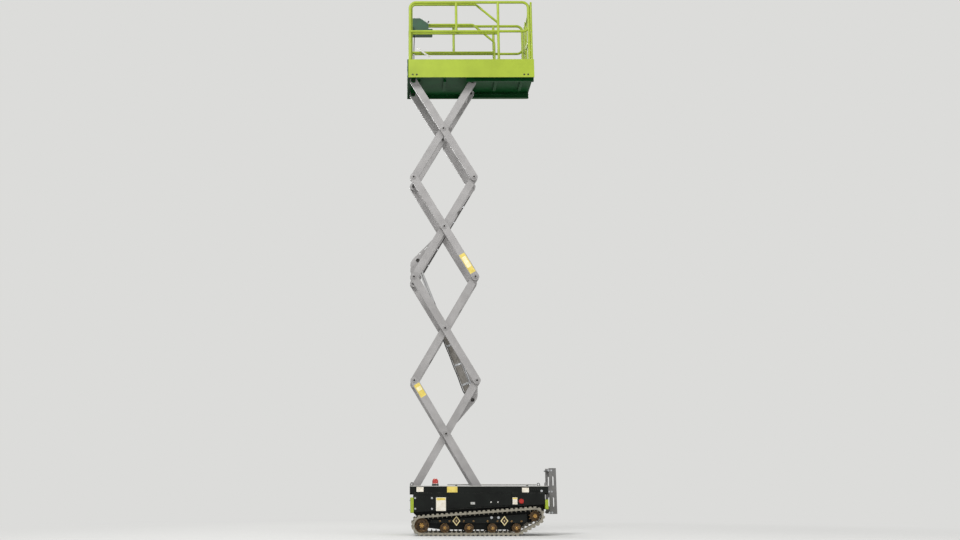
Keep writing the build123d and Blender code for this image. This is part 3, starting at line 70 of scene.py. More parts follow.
def add(tree, kind, inputs=None, **settings):
    """Adds one node to a tree; inputs maps a socket to a value or to what feeds it."""
    made = tree.nodes.new(kind)
    for name, value in settings.items():
        setattr(made, name, value)
    for socket, value in (inputs or {}).items():
        if isinstance(value, bpy.types.NodeSocket):
            tree.links.new(value, made.inputs[socket])
        else:
            made.inputs[socket].default_value = value
    return made


def finish_named(name, **sockets):
    """An empty material: its tree, and the surface shader that its finish is set on."""
    made = bpy.data.materials.new(name)
    made.use_nodes = True
    made.node_tree.nodes.clear()
    shader = add(made.node_tree, "ShaderNodeBsdfPrincipled")
    for socket, value in sockets.items():
        shader.inputs[socket.replace("_", " ")].default_value = value
    add(made.node_tree, "ShaderNodeOutputMaterial", {"Surface": shader.outputs["BSDF"]})
    return made, made.node_tree, shader


def link_object(name, mesh, *finishes):
    """Puts a mesh in the scene as one object with its finishes."""
    made = bpy.data.objects.new(name, mesh)
    bpy.context.scene.collection.objects.link(made)
    for finish in finishes:
        mesh.materials.append(finish)
    return made


camera = link_object("camera", bpy.data.cameras.new("camera"))
look = Vector((sin(CAMERA_TURN) * cos(CAMERA_UP), -cos(CAMERA_TURN) * cos(CAMERA_UP),
               sin(CAMERA_UP)))
side = Vector((-cos(CAMERA_TURN), -sin(CAMERA_TURN), 0))
above = side.cross(look)
aimed = Matrix((side, above, -look)).transposed().to_4x4()
camera.matrix_world = Matrix.Translation(CAMERA_AT) @ aimed
camera.data.lens = LENS_MM
camera.data.shift_x, camera.data.shift_y = LENS_SHIFT
camera.data.sensor_width = SENSOR_MM
camera.data.clip_end = CLEAR_TO
bpy.context.scene.camera = camera
bpy.context.scene.view_settings.view_transform = "Standard"


def seen_itself(tree):
    """Gives 1 where a thing shows itself, in a shiny surface or through clear plastic too,
    and 0 where it only sends light."""
    rays = add(tree, "ShaderNodeLightPath")
    mirrored = add(tree, "ShaderNodeMath",
                   {0: rays.outputs["Is Camera Ray"], 1: rays.outputs["Is Glossy Ray"]}, operation="ADD")
    through = add(tree, "ShaderNodeMath",
                  {0: mirrored.outputs["Value"], 1: rays.outputs["Is Transmission Ray"]},
                  operation="ADD", use_clamp=True)
    return through.outputs["Value"]


# matt paper: near the lift it takes the lamps' light and its shadow, and further
# off the camera and glossy parts see it at one even tone
studio_paper, tree, shader = finish_named("matt_studio_paper", Base_Color=colour(PAPER),
                                          Roughness=0.95, Specular_IOR_Level=0.1)
place = add(tree, "ShaderNodeTexCoord")
reach = add(tree, "ShaderNodeVectorMath", {0: place.outputs["Object"]}, operation="LENGTH")
far_off = add(tree, "ShaderNodeMapRange",
              {"Value": reach.outputs["Value"], "From Min": PAPER_EVEN_FROM, "From Max": PAPER_EVEN_BY},
              interpolation_type="SMOOTHSTEP")
share = add(tree, "ShaderNodeMath", {0: seen_itself(tree), 1: far_off.outputs["Result"]},
            operation="MULTIPLY")
even = add(tree, "ShaderNodeEmission", {"Color": colour(PAPER), "Strength": 1.0})
paper_mix = add(tree, "ShaderNodeMixShader",
                {0: share.outputs["Value"], 1: shader.outputs["BSDF"], 2: even.outputs["Emission"]})
tree.links.new(paper_mix.outputs["Shader"], tree.nodes["Material Output"].inputs["Surface"])

rim = [(FLOOR_R * cos(2 * pi * i / FLOOR_STEPS), FLOOR_R * sin(2 * pi * i / FLOOR_STEPS), 0)
       for i in range(FLOOR_STEPS)]
floor_mesh = bpy.data.meshes.new("paper_floor")
floor_mesh.from_pydata(rim, [], [list(range(FLOOR_STEPS))])
link_object("paper_floor", floor_mesh, studio_paper)

# the world lights the lift softly from all round; the camera and glossy parts see paper
world = bpy.data.worlds.new("studio_light")
bpy.context.scene.world = world
world.use_nodes = True
world.node_tree.nodes.clear()
glow = add(world.node_tree, "ShaderNodeBackground",
           {"Color": colour("FFFFFF"), "Strength": SKY_STRENGTH})
paper_all_round = add(world.node_tree, "ShaderNodeBackground",
                      {"Color": colour(PAPER), "Strength": 1.0})
world_mix = add(world.node_tree, "ShaderNodeMixShader",
                {0: seen_itself(world.node_tree), 1: glow.outputs["Background"],
                 2: paper_all_round.outputs["Background"]})
add(world.node_tree, "ShaderNodeOutputWorld", {"Surface": world_mix.outputs["Shader"]})

# lamps: name, place, what it faces, width, power
for lamp_name, lamp_at, lamp_to, lamp_wide, lamp_power in (
    ("key_lamp", (6.0, 12.0, 15.0), (0.0, 0.0, 3.5), 5.0, 1900),
    ("fill_lamp", (-9.0, 10.0, 4.0), (0.0, 0.0, 3.0), 6.0, 420),
    ("back_lamp", (3.0, -12.0, 9.0), (0.0, 0.0, 3.5), 6.0, 520),
):
    lamp = link_object(lamp_name, bpy.data.lights.new(lamp_name, "AREA"))
    lamp.data.size = lamp_wide
    lamp.data.energy = lamp_power
    lamp.location = lamp_at
    lamp.rotation_euler = (Vector(lamp_to) - Vector(lamp_at)).to_track_quat("-Z", "Y").to_euler()

# ------------------------------------------------------------ rubber tracks
# Endless belts of moulded rubber round steel cords, with a bar lug across each
# pitch and guide lugs down the inside. Dried mud has greyed the black rubber.

MM = 0.001                  # a millimetre, in the metres of the scene
RUBBER = "8F8A7C"
RUBBER_BARE = "4A4741"
RUBBER_RUBBED = "B3AE9E"
MUD_SPOT_MM = 45
RUBBER_GRAIN_MM = 4


def mottled(tree, shader, first, second, spot_mm, share=(0.35, 0.65)):
    """Runs a surface's colour between two tones in soft cloudy spots of one real size."""
    where = add(tree, "ShaderNodeTexCoord")
    cloud = add(tree, "ShaderNodeTexNoise",
                {"Vector": where.outputs["Object"], "Scale": 1 / (spot_mm * MM), "Detail": 4.0,
                 "Roughness": 0.6})
    spread = add(tree, "ShaderNodeMapRange",
                 {"Value": cloud.outputs["Fac"], "From Min": share[0], "From Max": share[1]})
    blend = add(tree, "ShaderNodeMix",
                {0: spread.outputs["Result"], 6: colour(first), 7: colour(second)}, data_type="RGBA")
    tree.links.new(blend.outputs[2], shader.inputs["Base Color"])
    return where, blend


def grained(tree, shader, where, grain_mm, depth_mm, edge_mm):
    """Gives a surface its grain, over edges that look rounded. Real orange peel, grit or
    spark erosion is a few tenths of a millimetre wide, too fine to show, so each finish
    draws its grain as coarse as it needs to show."""
    grain = add(tree, "ShaderNodeTexNoise",
                {"Vector": where.outputs["Object"], "Scale": 1 / (grain_mm * MM), "Detail": 2.0})
    rounded = add(tree, "ShaderNodeBevel", {"Radius": edge_mm * MM}, samples=4)
    relief = add(tree, "ShaderNodeBump",
                 {"Height": grain.outputs["Fac"], "Strength": 0.35, "Distance": depth_mm * MM,
                  "Normal": rounded.outputs["Normal"]})
    tree.links.new(relief.outputs["Normal"], shader.inputs["Normal"])


def edge_wear_and_highlight(tree, shader, where, blend, bare, edge_mm, patch_mm):
    """Lays the second tone along outer edges, in broken patches: worn edges, and on the cast iron wheels a
    painted highlight as well.
    """
    rounded = add(tree, "ShaderNodeBevel", {"Radius": edge_mm * MM}, samples=4)
    face = add(tree, "ShaderNodeNewGeometry")
    turn = add(tree, "ShaderNodeVectorMath",
               {0: rounded.outputs["Normal"], 1: face.outputs["Normal"]}, operation="DOT_PRODUCT")
    edge = add(tree, "ShaderNodeMapRange",
               {"Value": turn.outputs["Value"], "From Min": 0.97, "From Max": 0.78})
    patch = add(tree, "ShaderNodeTexNoise",
                {"Vector": where.outputs["Object"], "Scale": 1 / (patch_mm * MM), "Detail": 5.0})
    broken = add(tree, "ShaderNodeMapRange",
                 {"Value": patch.outputs["Fac"], "From Min": 0.42, "From Max": 0.62})
    share = add(tree, "ShaderNodeMath", {0: edge.outputs["Result"], 1: broken.outputs["Result"]},
                operation="MULTIPLY", use_clamp=True)
    over = add(tree, "ShaderNodeMix",
               {0: share.outputs["Value"], 6: blend.outputs[2], 7: colour(bare)}, data_type="RGBA")
    tree.links.new(over.outputs[2], shader.inputs["Base Color"])


# vulcanised rubber, moulded: dull, with dried mud in its grain and bare lug edges
track_rubber, tree, shader = finish_named("vulcanised_rubber_dusty", Roughness=0.9, IOR=1.52)
where, tone = mottled(tree, shader, RUBBER, RUBBER_BARE, spot_mm=MUD_SPOT_MM, share=(0.5, 0.85))
edge_wear_and_highlight(tree, shader, where, tone, RUBBER_RUBBED, edge_mm=5, patch_mm=30)
grained(tree, shader, where, grain_mm=RUBBER_GRAIN_MM, depth_mm=1.2, edge_mm=4)


def dress(finish, *names):
    """Gives CAD nodes their finish."""
    for name in names:
        coated = frame["nodes"][name].data.materials
        coated.clear()
        coated.append(finish)


dress(track_rubber, "track_left", "track_right")

# ------------------------------------------------------------ track wheels
# Cast iron idlers, rollers and toothed sprockets in a thin coat of golden brown
# primer. Each hub is closed by a cap that a ring of hexagon screws holds.

IRON_GOLD = "6A533A"
IRON_SHADE = "2C2116"
# golden edge tone: partly worn metal, partly a painted highlight along the wheels' edges
IRON_WORN_AND_HIGHLIGHT = "C49A58"
WHEEL_SPOT_MM = 30
CAP_SCREWS = 6
WHEELS_A_SIDE = {"front_idlers": 1, "track_rollers": 4, "drive_sprockets": 1}
# a hexagon head's corner radius, height and washer radius, as shares of its width
HEX_CORNER = 0.577
HEX_HEIGHT = 0.6
HEX_WASHER = 0.95
HEX_WORN = 0.86             # the top's corners, as a share of the foot's
WASHER_THIN = 0.3           # the washer's thickness, as a share of the head's height
SHARP_EDGE = radians(35)

# cast iron in primer: half metallic, warm, dark in its hollows; golden edges, part wear and part painted
# highlight
wheel_iron, tree, shader = finish_named("cast_iron_golden_primer", Roughness=0.36, Metallic=0.5)
where, tone = mottled(tree, shader, IRON_GOLD, IRON_SHADE, spot_mm=WHEEL_SPOT_MM, share=(0.35, 0.62))
edge_wear_and_highlight(tree, shader, where, tone, IRON_WORN_AND_HIGHLIGHT, edge_mm=7, patch_mm=12)
grained(tree, shader, where, grain_mm=3, depth_mm=0.6, edge_mm=3)
dress(wheel_iron, "front_idlers", "drive_sprockets", "track_rollers")

# zinc plated steel, turned: pale and bright, with a faint blue cast
zinc, tree, shader = finish_named("zinc_plated_steel", Roughness=0.34, Metallic=0.75)
where, tone = mottled(tree, shader, "CFD1D3", "A8ABAE", spot_mm=12)
grained(tree, shader, where, grain_mm=2, depth_mm=0.1, edge_mm=0.6)


def settled(draft):
    """Leaves an object with the plain mesh that its modifiers make."""
    bpy.context.view_layer.update()
    shape = draft.evaluated_get(bpy.context.evaluated_depsgraph_get())
    plain = bpy.data.meshes.new_from_object(shape)
    draft.modifiers.clear()
    draft.data = plain
    return draft


def tree_with(name, *sockets):
    """A Geometry Nodes tree with a geometry socket each way and the named inputs."""
    made = bpy.data.node_groups.new(name, "GeometryNodeTree")
    made.interface.new_socket("Geometry", in_out="INPUT", socket_type="NodeSocketGeometry")
    made.interface.new_socket("Geometry", in_out="OUTPUT", socket_type="NodeSocketGeometry")
    for label, kind in sockets:
        made.interface.new_socket(label, in_out="INPUT", socket_type="NodeSocket" + kind)
    return made, add(made, "NodeGroupInput").outputs


def grow(draft, tree, **values):
    """Runs a tree on an object, with inputs set by their sockets' identifiers."""
    growth = draft.modifiers.new(tree.name, "NODES")
    growth.node_group = tree
    for item in tree.interface.items_tree:
        label = item.name.lower().replace(" ", "_")
        if item.in_out == "INPUT" and label in values:
            growth[item.identifier] = values[label]
    return settled(draft)


def stood_on_points(tree, given, piece, rotation):
    """Ends a tree: a piece on every point, turned, made real and given its finish."""
    stood = add(tree, "GeometryNodeInstanceOnPoints",
                {"Points": given["Geometry"], "Instance": piece, "Rotation": rotation})
    real = add(tree, "GeometryNodeRealizeInstances", {"Geometry": stood.outputs["Instances"]})
    coated = add(tree, "GeometryNodeSetMaterial",
                 {"Geometry": real.outputs["Geometry"], "Material": given["Finish"]})
    add(tree, "NodeGroupOutput", {"Geometry": coated.outputs["Geometry"]})


def turned_to_face(tree):
    """The rotation that turns a piece's height to its point's own facing."""
    aim = add(tree, "GeometryNodeInputNamedAttribute", {"Name": "facing"}, data_type="FLOAT_VECTOR")
    turn = add(tree, "FunctionNodeAlignRotationToVector", {"Vector": aim.outputs["Attribute"]}, axis="Z")
    return turn.outputs["Rotation"]


def points_facing(name, spots):
    """A mesh of loose points, each with the direction that it faces."""
    mesh = bpy.data.meshes.new(name)
    mesh.from_pydata([spot[0] for spot in spots], [], [])
    facing = mesh.attributes.new("facing", "FLOAT_VECTOR", "POINT")
    for i, spot in enumerate(spots):
        facing.data[i].vector = spot[1]
    return link_object(name, mesh)


# hexagon screws: a chamfered head on a washer, stood on points that face outwards
screw_tree, given = tree_with("hexagon_screws", ("Across Flats", "Float"), ("Head Height", "Float"),
                              ("Finish", "Material"))
corner = add(screw_tree, "ShaderNodeMath", {0: given["Across Flats"], 1: HEX_CORNER}, operation="MULTIPLY")
worn_corner = add(screw_tree, "ShaderNodeMath", {0: corner.outputs["Value"], 1: HEX_WORN},
                  operation="MULTIPLY")
washer_r = add(screw_tree, "ShaderNodeMath", {0: given["Across Flats"], 1: HEX_WASHER},
               operation="MULTIPLY")
thin = add(screw_tree, "ShaderNodeMath", {0: given["Head Height"], 1: WASHER_THIN}, operation="MULTIPLY")
head = add(screw_tree, "GeometryNodeMeshCone",
           {"Vertices": 6, "Radius Top": worn_corner.outputs["Value"],
            "Radius Bottom": corner.outputs["Value"], "Depth": given["Head Height"]})
washer = add(screw_tree, "GeometryNodeMeshCylinder",
             {"Vertices": 14, "Radius": washer_r.outputs["Value"], "Depth": thin.outputs["Value"]})
both = add(screw_tree, "GeometryNodeJoinGeometry")
screw_tree.links.new(head.outputs["Mesh"], both.inputs["Geometry"])
screw_tree.links.new(washer.outputs["Mesh"], both.inputs["Geometry"])
stood_on_points(screw_tree, given, both.outputs["Geometry"], turned_to_face(screw_tree))


def carried(made, body):
    """Puts a finished piece on the body that carries it."""
    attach(made, body)


def screws(name, body, spots, across_mm, finish):
    """Stands hexagon screws of one size on a body; spots are (place, facing) pairs."""
    made = grow(points_facing(name, spots), screw_tree, across_flats=across_mm * MM,
                head_height=across_mm * HEX_HEIGHT * MM, finish=finish)
    carried(made, body)


def ring_of(centre, radius, count, facing):
    """Places round a circle that faces along Y, each with its facing."""
    turns = [2 * pi * i / count for i in range(count)]
    return [(Vector((centre.x + radius * cos(turn), centre.y, centre.z + radius * sin(turn))), facing)
            for turn in turns]


# oiled bronze: golden, half polished, with darker smears of grease
bronze, tree, shader = finish_named("oiled_bronze_golden", Roughness=0.3, Metallic=0.8)
where, tone = mottled(tree, shader, "D9AE68", "9A7238", spot_mm=10)
grained(tree, shader, where, grain_mm=2, depth_mm=0.15, edge_mm=1)


def mesh_from(name, form):
    """Ends work on a form: its faces turn outwards, and it becomes a mesh."""
    bmesh.ops.recalc_face_normals(form, faces=form.faces)
    mesh = bpy.data.meshes.new(name)
    form.to_mesh(mesh)
    form.free()
    return mesh


def turned(name, body, centre, axis, profile, finish, steps=32):
    """A turned piece: (along the axis, radius) pairs in mm, spun about an axis."""
    lathe = bmesh.new()
    aim = Vector(axis).to_track_quat("Z", "Y").to_matrix()
    rings = []
    for along, radius in profile:
        ring = []
        for step in range(steps if radius else 1):
            turn = 2 * pi * step / steps
            place = Vector((radius * MM * cos(turn), radius * MM * sin(turn), along * MM))
            ring.append(lathe.verts.new(Vector(centre) + aim @ place))
        rings.append(ring)
    for first, second in zip(rings, rings[1:]):
        for step in range(steps):
            corners = [first[step % len(first)], first[(step + 1) % len(first)],
                       second[(step + 1) % len(second)], second[step % len(second)]]
            lathe.faces.new([c for i, c in enumerate(corners) if c not in corners[:i]]).smooth = True
    mesh = mesh_from(name, lathe)
    mesh.set_sharp_from_angle(angle=SHARP_EDGE)
    carried(link_object(name, mesh, finish), body)


def hubs(node):
    """The wheels of a node on both sides: number, side and the hub's outer face."""
    low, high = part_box(node)
    wheel_r = (high.z - low.z) / 2
    count = WHEELS_A_SIDE[node]
    for i in range(count):
        hub_x = low.x + wheel_r + (high.x - low.x - 2 * wheel_r) * i / max(count - 1, 1)
        for sign in (1, -1):
            yield i, sign, Vector((hub_x, sign * high.y, low.z + wheel_r))


# hub caps: the wheels' node, and the cap's profile
for node, profile in (
    ("front_idlers", ((0.2, 18.5), (4, 18.5), (7, 16), (8.5, 10), (9, 0))),
    ("track_rollers", ((0.2, 12.5), (3, 12.5), (5.5, 10.5), (6.5, 6), (6.8, 0))),
    ("drive_sprockets", ((-8, 0), (-8, 14.2), (0.4, 14.2), (0.4, 25), (3.5, 25), (5, 23.5), (5, 13),
                         (-5, 12), (-5, 0))),
):
    for i, sign, hub in hubs(node):
        turned(f"hub_cap_{node}_{i}_{'left' if sign > 0 else 'right'}", "chassis", hub, (0, sign, 0),
               profile, bronze, 28)

# rings of cap screws: the wheels' node, the ring's radius, the screws' width in mm
for node, ring_mm, across_mm in (("front_idlers", 24.5, 8), ("track_rollers", 18.5, 6)):
    cap_spots = []
    for _, sign, hub in hubs(node):
        cap_spots += ring_of(hub, ring_mm * MM, CAP_SCREWS, (0, sign, 0))
    screws(f"wheel_cap_screws_{across_mm}", "chassis", cap_spots, across_mm, bronze)

# ------------------------------------------------------------ chassis
# A welded box of sheet steel sprayed satin black, with drop-down doors on both
# sides, bolted covers and track frames, and lime end panels at its corners.

CHASSIS_BLACK = "090C0A"
CHASSIS_WORN = "121613"
STEEL_BARE = "6E6B66"
CHASSIS_SPOT_MM = 160

# sprayed steel, satin black: smooth and even, worn to grey along its edges
chassis_paint, tree, shader = finish_named("sprayed_steel_satin_black", Roughness=0.4,
                                           Specular_IOR_Level=0.2)
where, tone = mottled(tree, shader, CHASSIS_BLACK, CHASSIS_WORN, spot_mm=CHASSIS_SPOT_MM)
edge_wear_and_highlight(tree, shader, where, tone, STEEL_BARE, edge_mm=3, patch_mm=60)
grained(tree, shader, where, grain_mm=5, depth_mm=0.15, edge_mm=2)
dress(chassis_paint, "base_frame", "lower_hull", "side_boxes", "side_door_left", "side_door_right",
      "service_covers", "track_frames", "final_drives", "power_blocks")

# bright steel, worn by hands and tools: pale, with a soft brushed sheen
bare_steel, tree, shader = finish_named("bright_steel_worn", Roughness=0.34, Metallic=0.85)
where, tone = mottled(tree, shader, "D8D7D3", "B2B1AC", spot_mm=18)
grained(tree, shader, where, grain_mm=2, depth_mm=0.1, edge_mm=0.6)

# lime green enamel: clear and even, slightly glossy, with grime at its edges
lime_paint, tree, shader = finish_named("lime_enamel_glossy", Roughness=0.38, Specular_IOR_Level=0.35)
where, tone = mottled(tree, shader, "9DB034", "93A52F", spot_mm=300)
edge_wear_and_highlight(tree, shader, where, tone, "6C7A32", edge_mm=2, patch_mm=50)
grained(tree, shader, where, grain_mm=8, depth_mm=0.12, edge_mm=2)
dress(lime_paint, "end_panels")


def rounded_outline(low, high, corner_mm, steps=4):
    """Corner points of a rounded rectangle, anticlockwise, as (across, up) pairs."""
    corner = corner_mm * MM
    left, right, under, over = low[0] + corner, high[0] - corner, low[1] + corner, high[1] - corner
    points = []
    for i, (across, up) in enumerate(((right, under), (right, over), (left, over), (left, under))):
        for step in range(steps + 1):
            turn = -pi / 2 + (i + step / steps) * pi / 2
            points.append((across + corner * cos(turn), up + corner * sin(turn)))
    return points


def plate(name, body, outline, face_y, thick_mm, finish, round_mm=0.6):
    """A plate on a side of the lift: an outline of (X, Z) pairs whose outer face is at
    face_y, with its edge rounded over."""
    out = 1 if face_y > 0 else -1
    sheet = bmesh.new()
    back = [sheet.verts.new((x, face_y - out * thick_mm * MM, z)) for x, z in outline]
    front = [sheet.verts.new((x, face_y, z)) for x, z in outline]
    count = len(outline)
    sheet.faces.new(back)
    face = sheet.faces.new(front)
    for i in range(count):
        sheet.faces.new((back[i], back[(i + 1) % count], front[(i + 1) % count], front[i]))
    if round_mm:
        bmesh.ops.bevel(sheet, geom=list(face.edges), offset=round_mm * MM, segments=2, affect="EDGES")
    carried(link_object(name, mesh_from(name, sheet), finish), body)


# door latches: a bright pressed cup round a quarter-turn key
BOX_SIDE_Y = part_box("side_boxes")[1].y
LATCH_LOW, LATCH_HIGH = Vector((0.099, 0.390)), Vector((0.157, 0.420))
LATCH_MM = 1.5
STAY_RIVET_Z = 0.418
latch_x, latch_z = (LATCH_LOW + LATCH_HIGH) / 2
for side_name, sign in (("left", 1), ("right", -1)):
    door_low, door_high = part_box(f"side_door_{side_name}")
    latch_y = sign * (max(abs(door_low.y), abs(door_high.y)) + LATCH_MM * MM)
    plate(f"latch_cup_{side_name}", f"door_{side_name}", rounded_outline(LATCH_LOW, LATCH_HIGH, 6),
          latch_y, LATCH_MM, bare_steel, 0.5)
    turned(f"latch_key_{side_name}", f"door_{side_name}", (latch_x, latch_y, latch_z), (0, sign, 0),
           ((0, 10), (2.5, 10), (3.5, 8.5), (3.5, 4), (1.5, 4), (1.5, 0)), zinc, 24)
    # two domed rivets that hold the door's stay inside
    for rivet_x in (-0.106, -0.194):
        turned(f"door_rivet_{side_name}_{round(-rivet_x / MM)}_{round(STAY_RIVET_Z / MM)}",
               f"door_{side_name}", (rivet_x, sign * BOX_SIDE_Y, STAY_RIVET_Z), (0, sign, 0),
               ((0, 10), (1.5, 10), (4, 7.5), (5, 4), (5.4, 0)), bare_steel, 20)

# vents: pressed louvres in the rear of each side band, each a rounded scoop
LOUVRES = 5
LOUVRE_PITCH = 26 * MM
VENT_REAR_X = -0.728
VENT_LOW = 0.545
VENT_H = 42 * MM
VENT_CLEAR = 0.2 * MM
BAND_SIDE_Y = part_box("base_frame")[1].y
SCOOP_MM = ((-8, 0), (-5, 5), (0, 7), (6, 7), (8, 4.5), (8, 0))     # along and out, where it is fullest
louvre = bmesh.new()
for sign in (1, -1):
    for i in range(LOUVRES):
        mid_x = VENT_REAR_X + i * LOUVRE_PITCH
        rows = []
        for up_share in (0, 0.25, 0.5, 0.75, 1):
            swell = sin(pi * up_share) ** 0.5
            rows.append([louvre.verts.new((mid_x + along * MM,
                                           sign * (BAND_SIDE_Y + VENT_CLEAR + out * swell * MM),
                                           VENT_LOW + VENT_H * up_share)) for along, out in SCOOP_MM])
        for low_row, high_row in zip(rows, rows[1:]):
            for step in range(len(SCOOP_MM) - 1):
                louvre.faces.new((low_row[step], low_row[step + 1], high_row[step + 1],
                                  high_row[step])).smooth = True
bmesh.ops.remove_doubles(louvre, verts=louvre.verts, dist=0.05 * MM)
vents = link_object("vent_louvres", mesh_from("vent_louvres", louvre), chassis_paint)
carried(vents, "chassis")

# service covers: four corner screws each
COVER_INSET = 14 * MM
cover_low, cover_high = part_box("service_covers")
cover_spots = [((x, sign * cover_high.y, z), (0, sign, 0)) for sign in (1, -1)
               for x in (cover_low.x + COVER_INSET, cover_high.x - COVER_INSET)
               for z in (cover_low.z + COVER_INSET, cover_high.z - COVER_INSET)]
screws("cover_screws", "chassis", cover_spots, 13, zinc)

# end panels: two columns of screws by each corner, and one screw at each band's rear
panel_low, panel_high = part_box("end_panels")
panel_spots = [((x, sign * y, z), (1 if x > 0 else -1, 0, 0)) for sign in (1, -1)
               for x, z in ((panel_high.x, 0.32), (panel_high.x, 0.44),
                            (panel_low.x, 0.355), (panel_low.x, 0.425))
               for y in (0.34, 0.22)]
screws("panel_screws", "chassis", panel_spots, 16, zinc)
band_spots = [((-0.755, sign * BAND_SIDE_Y, 0.560), (0, sign, 0)) for sign in (1, -1)]
screws("band_screws", "chassis", band_spots, 16, zinc)

# ------------------------------------------------------------ blank plates
# Vinyl labels stuck on the left side of the chassis, and two enamelled signs hung
# as diamonds from the track frame. All are bare of print.

LABEL_MM = 0.5
SIGN_MM = 2.0
SIGN_COAT_MM = 0.6
SIGN_Z = 0.186

# printed vinyl, left blank: bright, smooth and a little soiled
white_vinyl, tree, shader = finish_named("blank_vinyl_white", Roughness=0.5)
where, tone = mottled(tree, shader, "EDE8DC", "DAD2C0", spot_mm=30)
grained(tree, shader, where, grain_mm=6, depth_mm=0.05, edge_mm=0.5)
# yellow vinyl: the same sheet in a warm yellow, faded unevenly by the sun
yellow_vinyl, tree, shader = finish_named("blank_vinyl_yellow", Roughness=0.5)
where, tone = mottled(tree, shader, "E3CE6C", "D2BC55", spot_mm=40)
grained(tree, shader, where, grain_mm=6, depth_mm=0.05, edge_mm=0.5)
# fired enamel, dark brown: hard and glossy, nearly even
brown_enamel, tree, shader = finish_named("blank_enamel_dark_brown", Roughness=0.25)
where, tone = mottled(tree, shader, "33241A", "41301F", spot_mm=20)
grained(tree, shader, where, grain_mm=8, depth_mm=0.05, edge_mm=0.5)
# fired enamel, cream: as hard and glossy, yellowed a little with age
cream_enamel, tree, shader = finish_named("blank_enamel_cream", Roughness=0.25)
where, tone = mottled(tree, shader, "E6D9A6", "D2BF83", spot_mm=20)
grained(tree, shader, where, grain_mm=8, depth_mm=0.05, edge_mm=0.5)

# labels: name, low corner, high corner, face that carries it, how far it stands off, finish
for label_name, low, high, side_y, proud_mm, finish in (
    ("label_white_front", (0.756, 0.549), (0.846, 0.609), BAND_SIDE_Y, LABEL_MM, white_vinyl),
    ("label_yellow_band", (0.322, 0.541), (0.455, 0.615), BAND_SIDE_Y, LABEL_MM, yellow_vinyl),
    ("label_white_rear", (-0.593, 0.542), (-0.505, 0.600), BAND_SIDE_Y, LABEL_MM, white_vinyl),
    ("label_notice", (0.471, 0.309), (0.597, 0.478), BOX_SIDE_Y, LABEL_MM, white_vinyl),
    ("label_notice_header", (0.477, 0.443), (0.591, 0.472), BOX_SIDE_Y, 2 * LABEL_MM, yellow_vinyl),
    ("label_by_stop", (-0.443, 0.390), (-0.381, 0.478), BOX_SIDE_Y, LABEL_MM, white_vinyl),
    ("label_by_stop_header", (-0.439, 0.456), (-0.385, 0.474), BOX_SIDE_Y, 2 * LABEL_MM, yellow_vinyl),
):
    plate(label_name, "chassis", rounded_outline(low, high, 3), side_y + proud_mm * MM, LABEL_MM, finish,
          0.1)

TRACK_SIDE_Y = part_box("track_frames")[1].y
# signs: half length, half height, how far it stands off, and finish, outermost last
SIGN_LAYERS = ((0.050, 0.062, SIGN_MM, cream_enamel),
               (0.036, 0.045, SIGN_MM + SIGN_COAT_MM, brown_enamel),
               (0.008, 0.012, SIGN_MM + 2 * SIGN_COAT_MM, cream_enamel))
for sign_name, sign_x in (("front", 0.340), ("rear", -0.270)):
    for layer, (half_x, half_z, proud_mm, finish) in enumerate(SIGN_LAYERS):
        diamond = [(sign_x + half_x, SIGN_Z), (sign_x, SIGN_Z + half_z),
                   (sign_x - half_x, SIGN_Z), (sign_x, SIGN_Z - half_z)]
        plate(f"diamond_sign_{sign_name}_{layer}", "chassis", diamond, TRACK_SIDE_Y + proud_mm * MM,
              SIGN_COAT_MM if layer else SIGN_MM, finish, 0.2)

# ------------------------------------------------------------ track frame screws
# The welded track frames carry the rollers on short axles. Two hexagon screws hold
# each axle's foot to the beam, and larger zinc plated ones hold the frame's stay.

FOOT_SCREW_Z = 0.182
FOOT_SCREW_OUT = 0.062
STAY_SCREW_Z = 0.227

frame_spots = [((hub.x + dx, sign * TRACK_SIDE_Y, FOOT_SCREW_Z), (0, sign, 0))
               for _, sign, hub in hubs("track_rollers") for dx in (-FOOT_SCREW_OUT, FOOT_SCREW_OUT)]
screws("frame_screws", "chassis", frame_spots, 13, wheel_iron)
stay_spots = [((x, sign * TRACK_SIDE_Y, STAY_SCREW_Z), (0, sign, 0))
              for x in (-0.107, -0.196) for sign in (1, -1)]
screws("stay_screws", "chassis", stay_spots, 18, zinc)

# ------------------------------------------------------------ beacon
# A flashing beacon on the chassis: a black moulded base, and a clear red dome with
# ribs inside its wall, held by a bright collar and closed by a pale cap.

RIB_PITCH_MM = 6
WAVE_STEP = 0.314           # metres between a wave texture's bands, at a scale of one

# moulded black plastic: matt, with a fine spark-eroded texture
black_plastic, tree, shader = finish_named("moulded_plastic_black", Roughness=0.5, Specular_IOR_Level=0.3)
where, tone = mottled(tree, shader, "151616", "1E1F1F", spot_mm=60)
grained(tree, shader, where, grain_mm=1.5, depth_mm=0.08, edge_mm=1.5)
dress(black_plastic, "beacon_base")

# clear red plastic, ribbed: glossy and deep in colour, lighter where its wall is thin
beacon_lens, tree, shader = finish_named("clear_red_plastic_ribbed", Roughness=0.12, Coat_Weight=0.6,
                                         Transmission_Weight=0.25)
where = add(tree, "ShaderNodeTexCoord")
ribs = add(tree, "ShaderNodeTexWave",
           {"Vector": where.outputs["Object"], "Scale": WAVE_STEP / (RIB_PITCH_MM * MM)},
           wave_type="BANDS", bands_direction="Z", wave_profile="SIN")
deep = add(tree, "ShaderNodeMix", {0: ribs.outputs["Fac"], 6: colour("B3221C"), 7: colour("D9453B")},
           data_type="RGBA")
tree.links.new(deep.outputs[2], shader.inputs["Base Color"])
ridges = add(tree, "ShaderNodeBump",
             {"Height": ribs.outputs["Fac"], "Strength": 0.5, "Distance": 1.2 * MM})
tree.links.new(ridges.outputs["Normal"], shader.inputs["Normal"])
dress(beacon_lens, "beacon_dome")

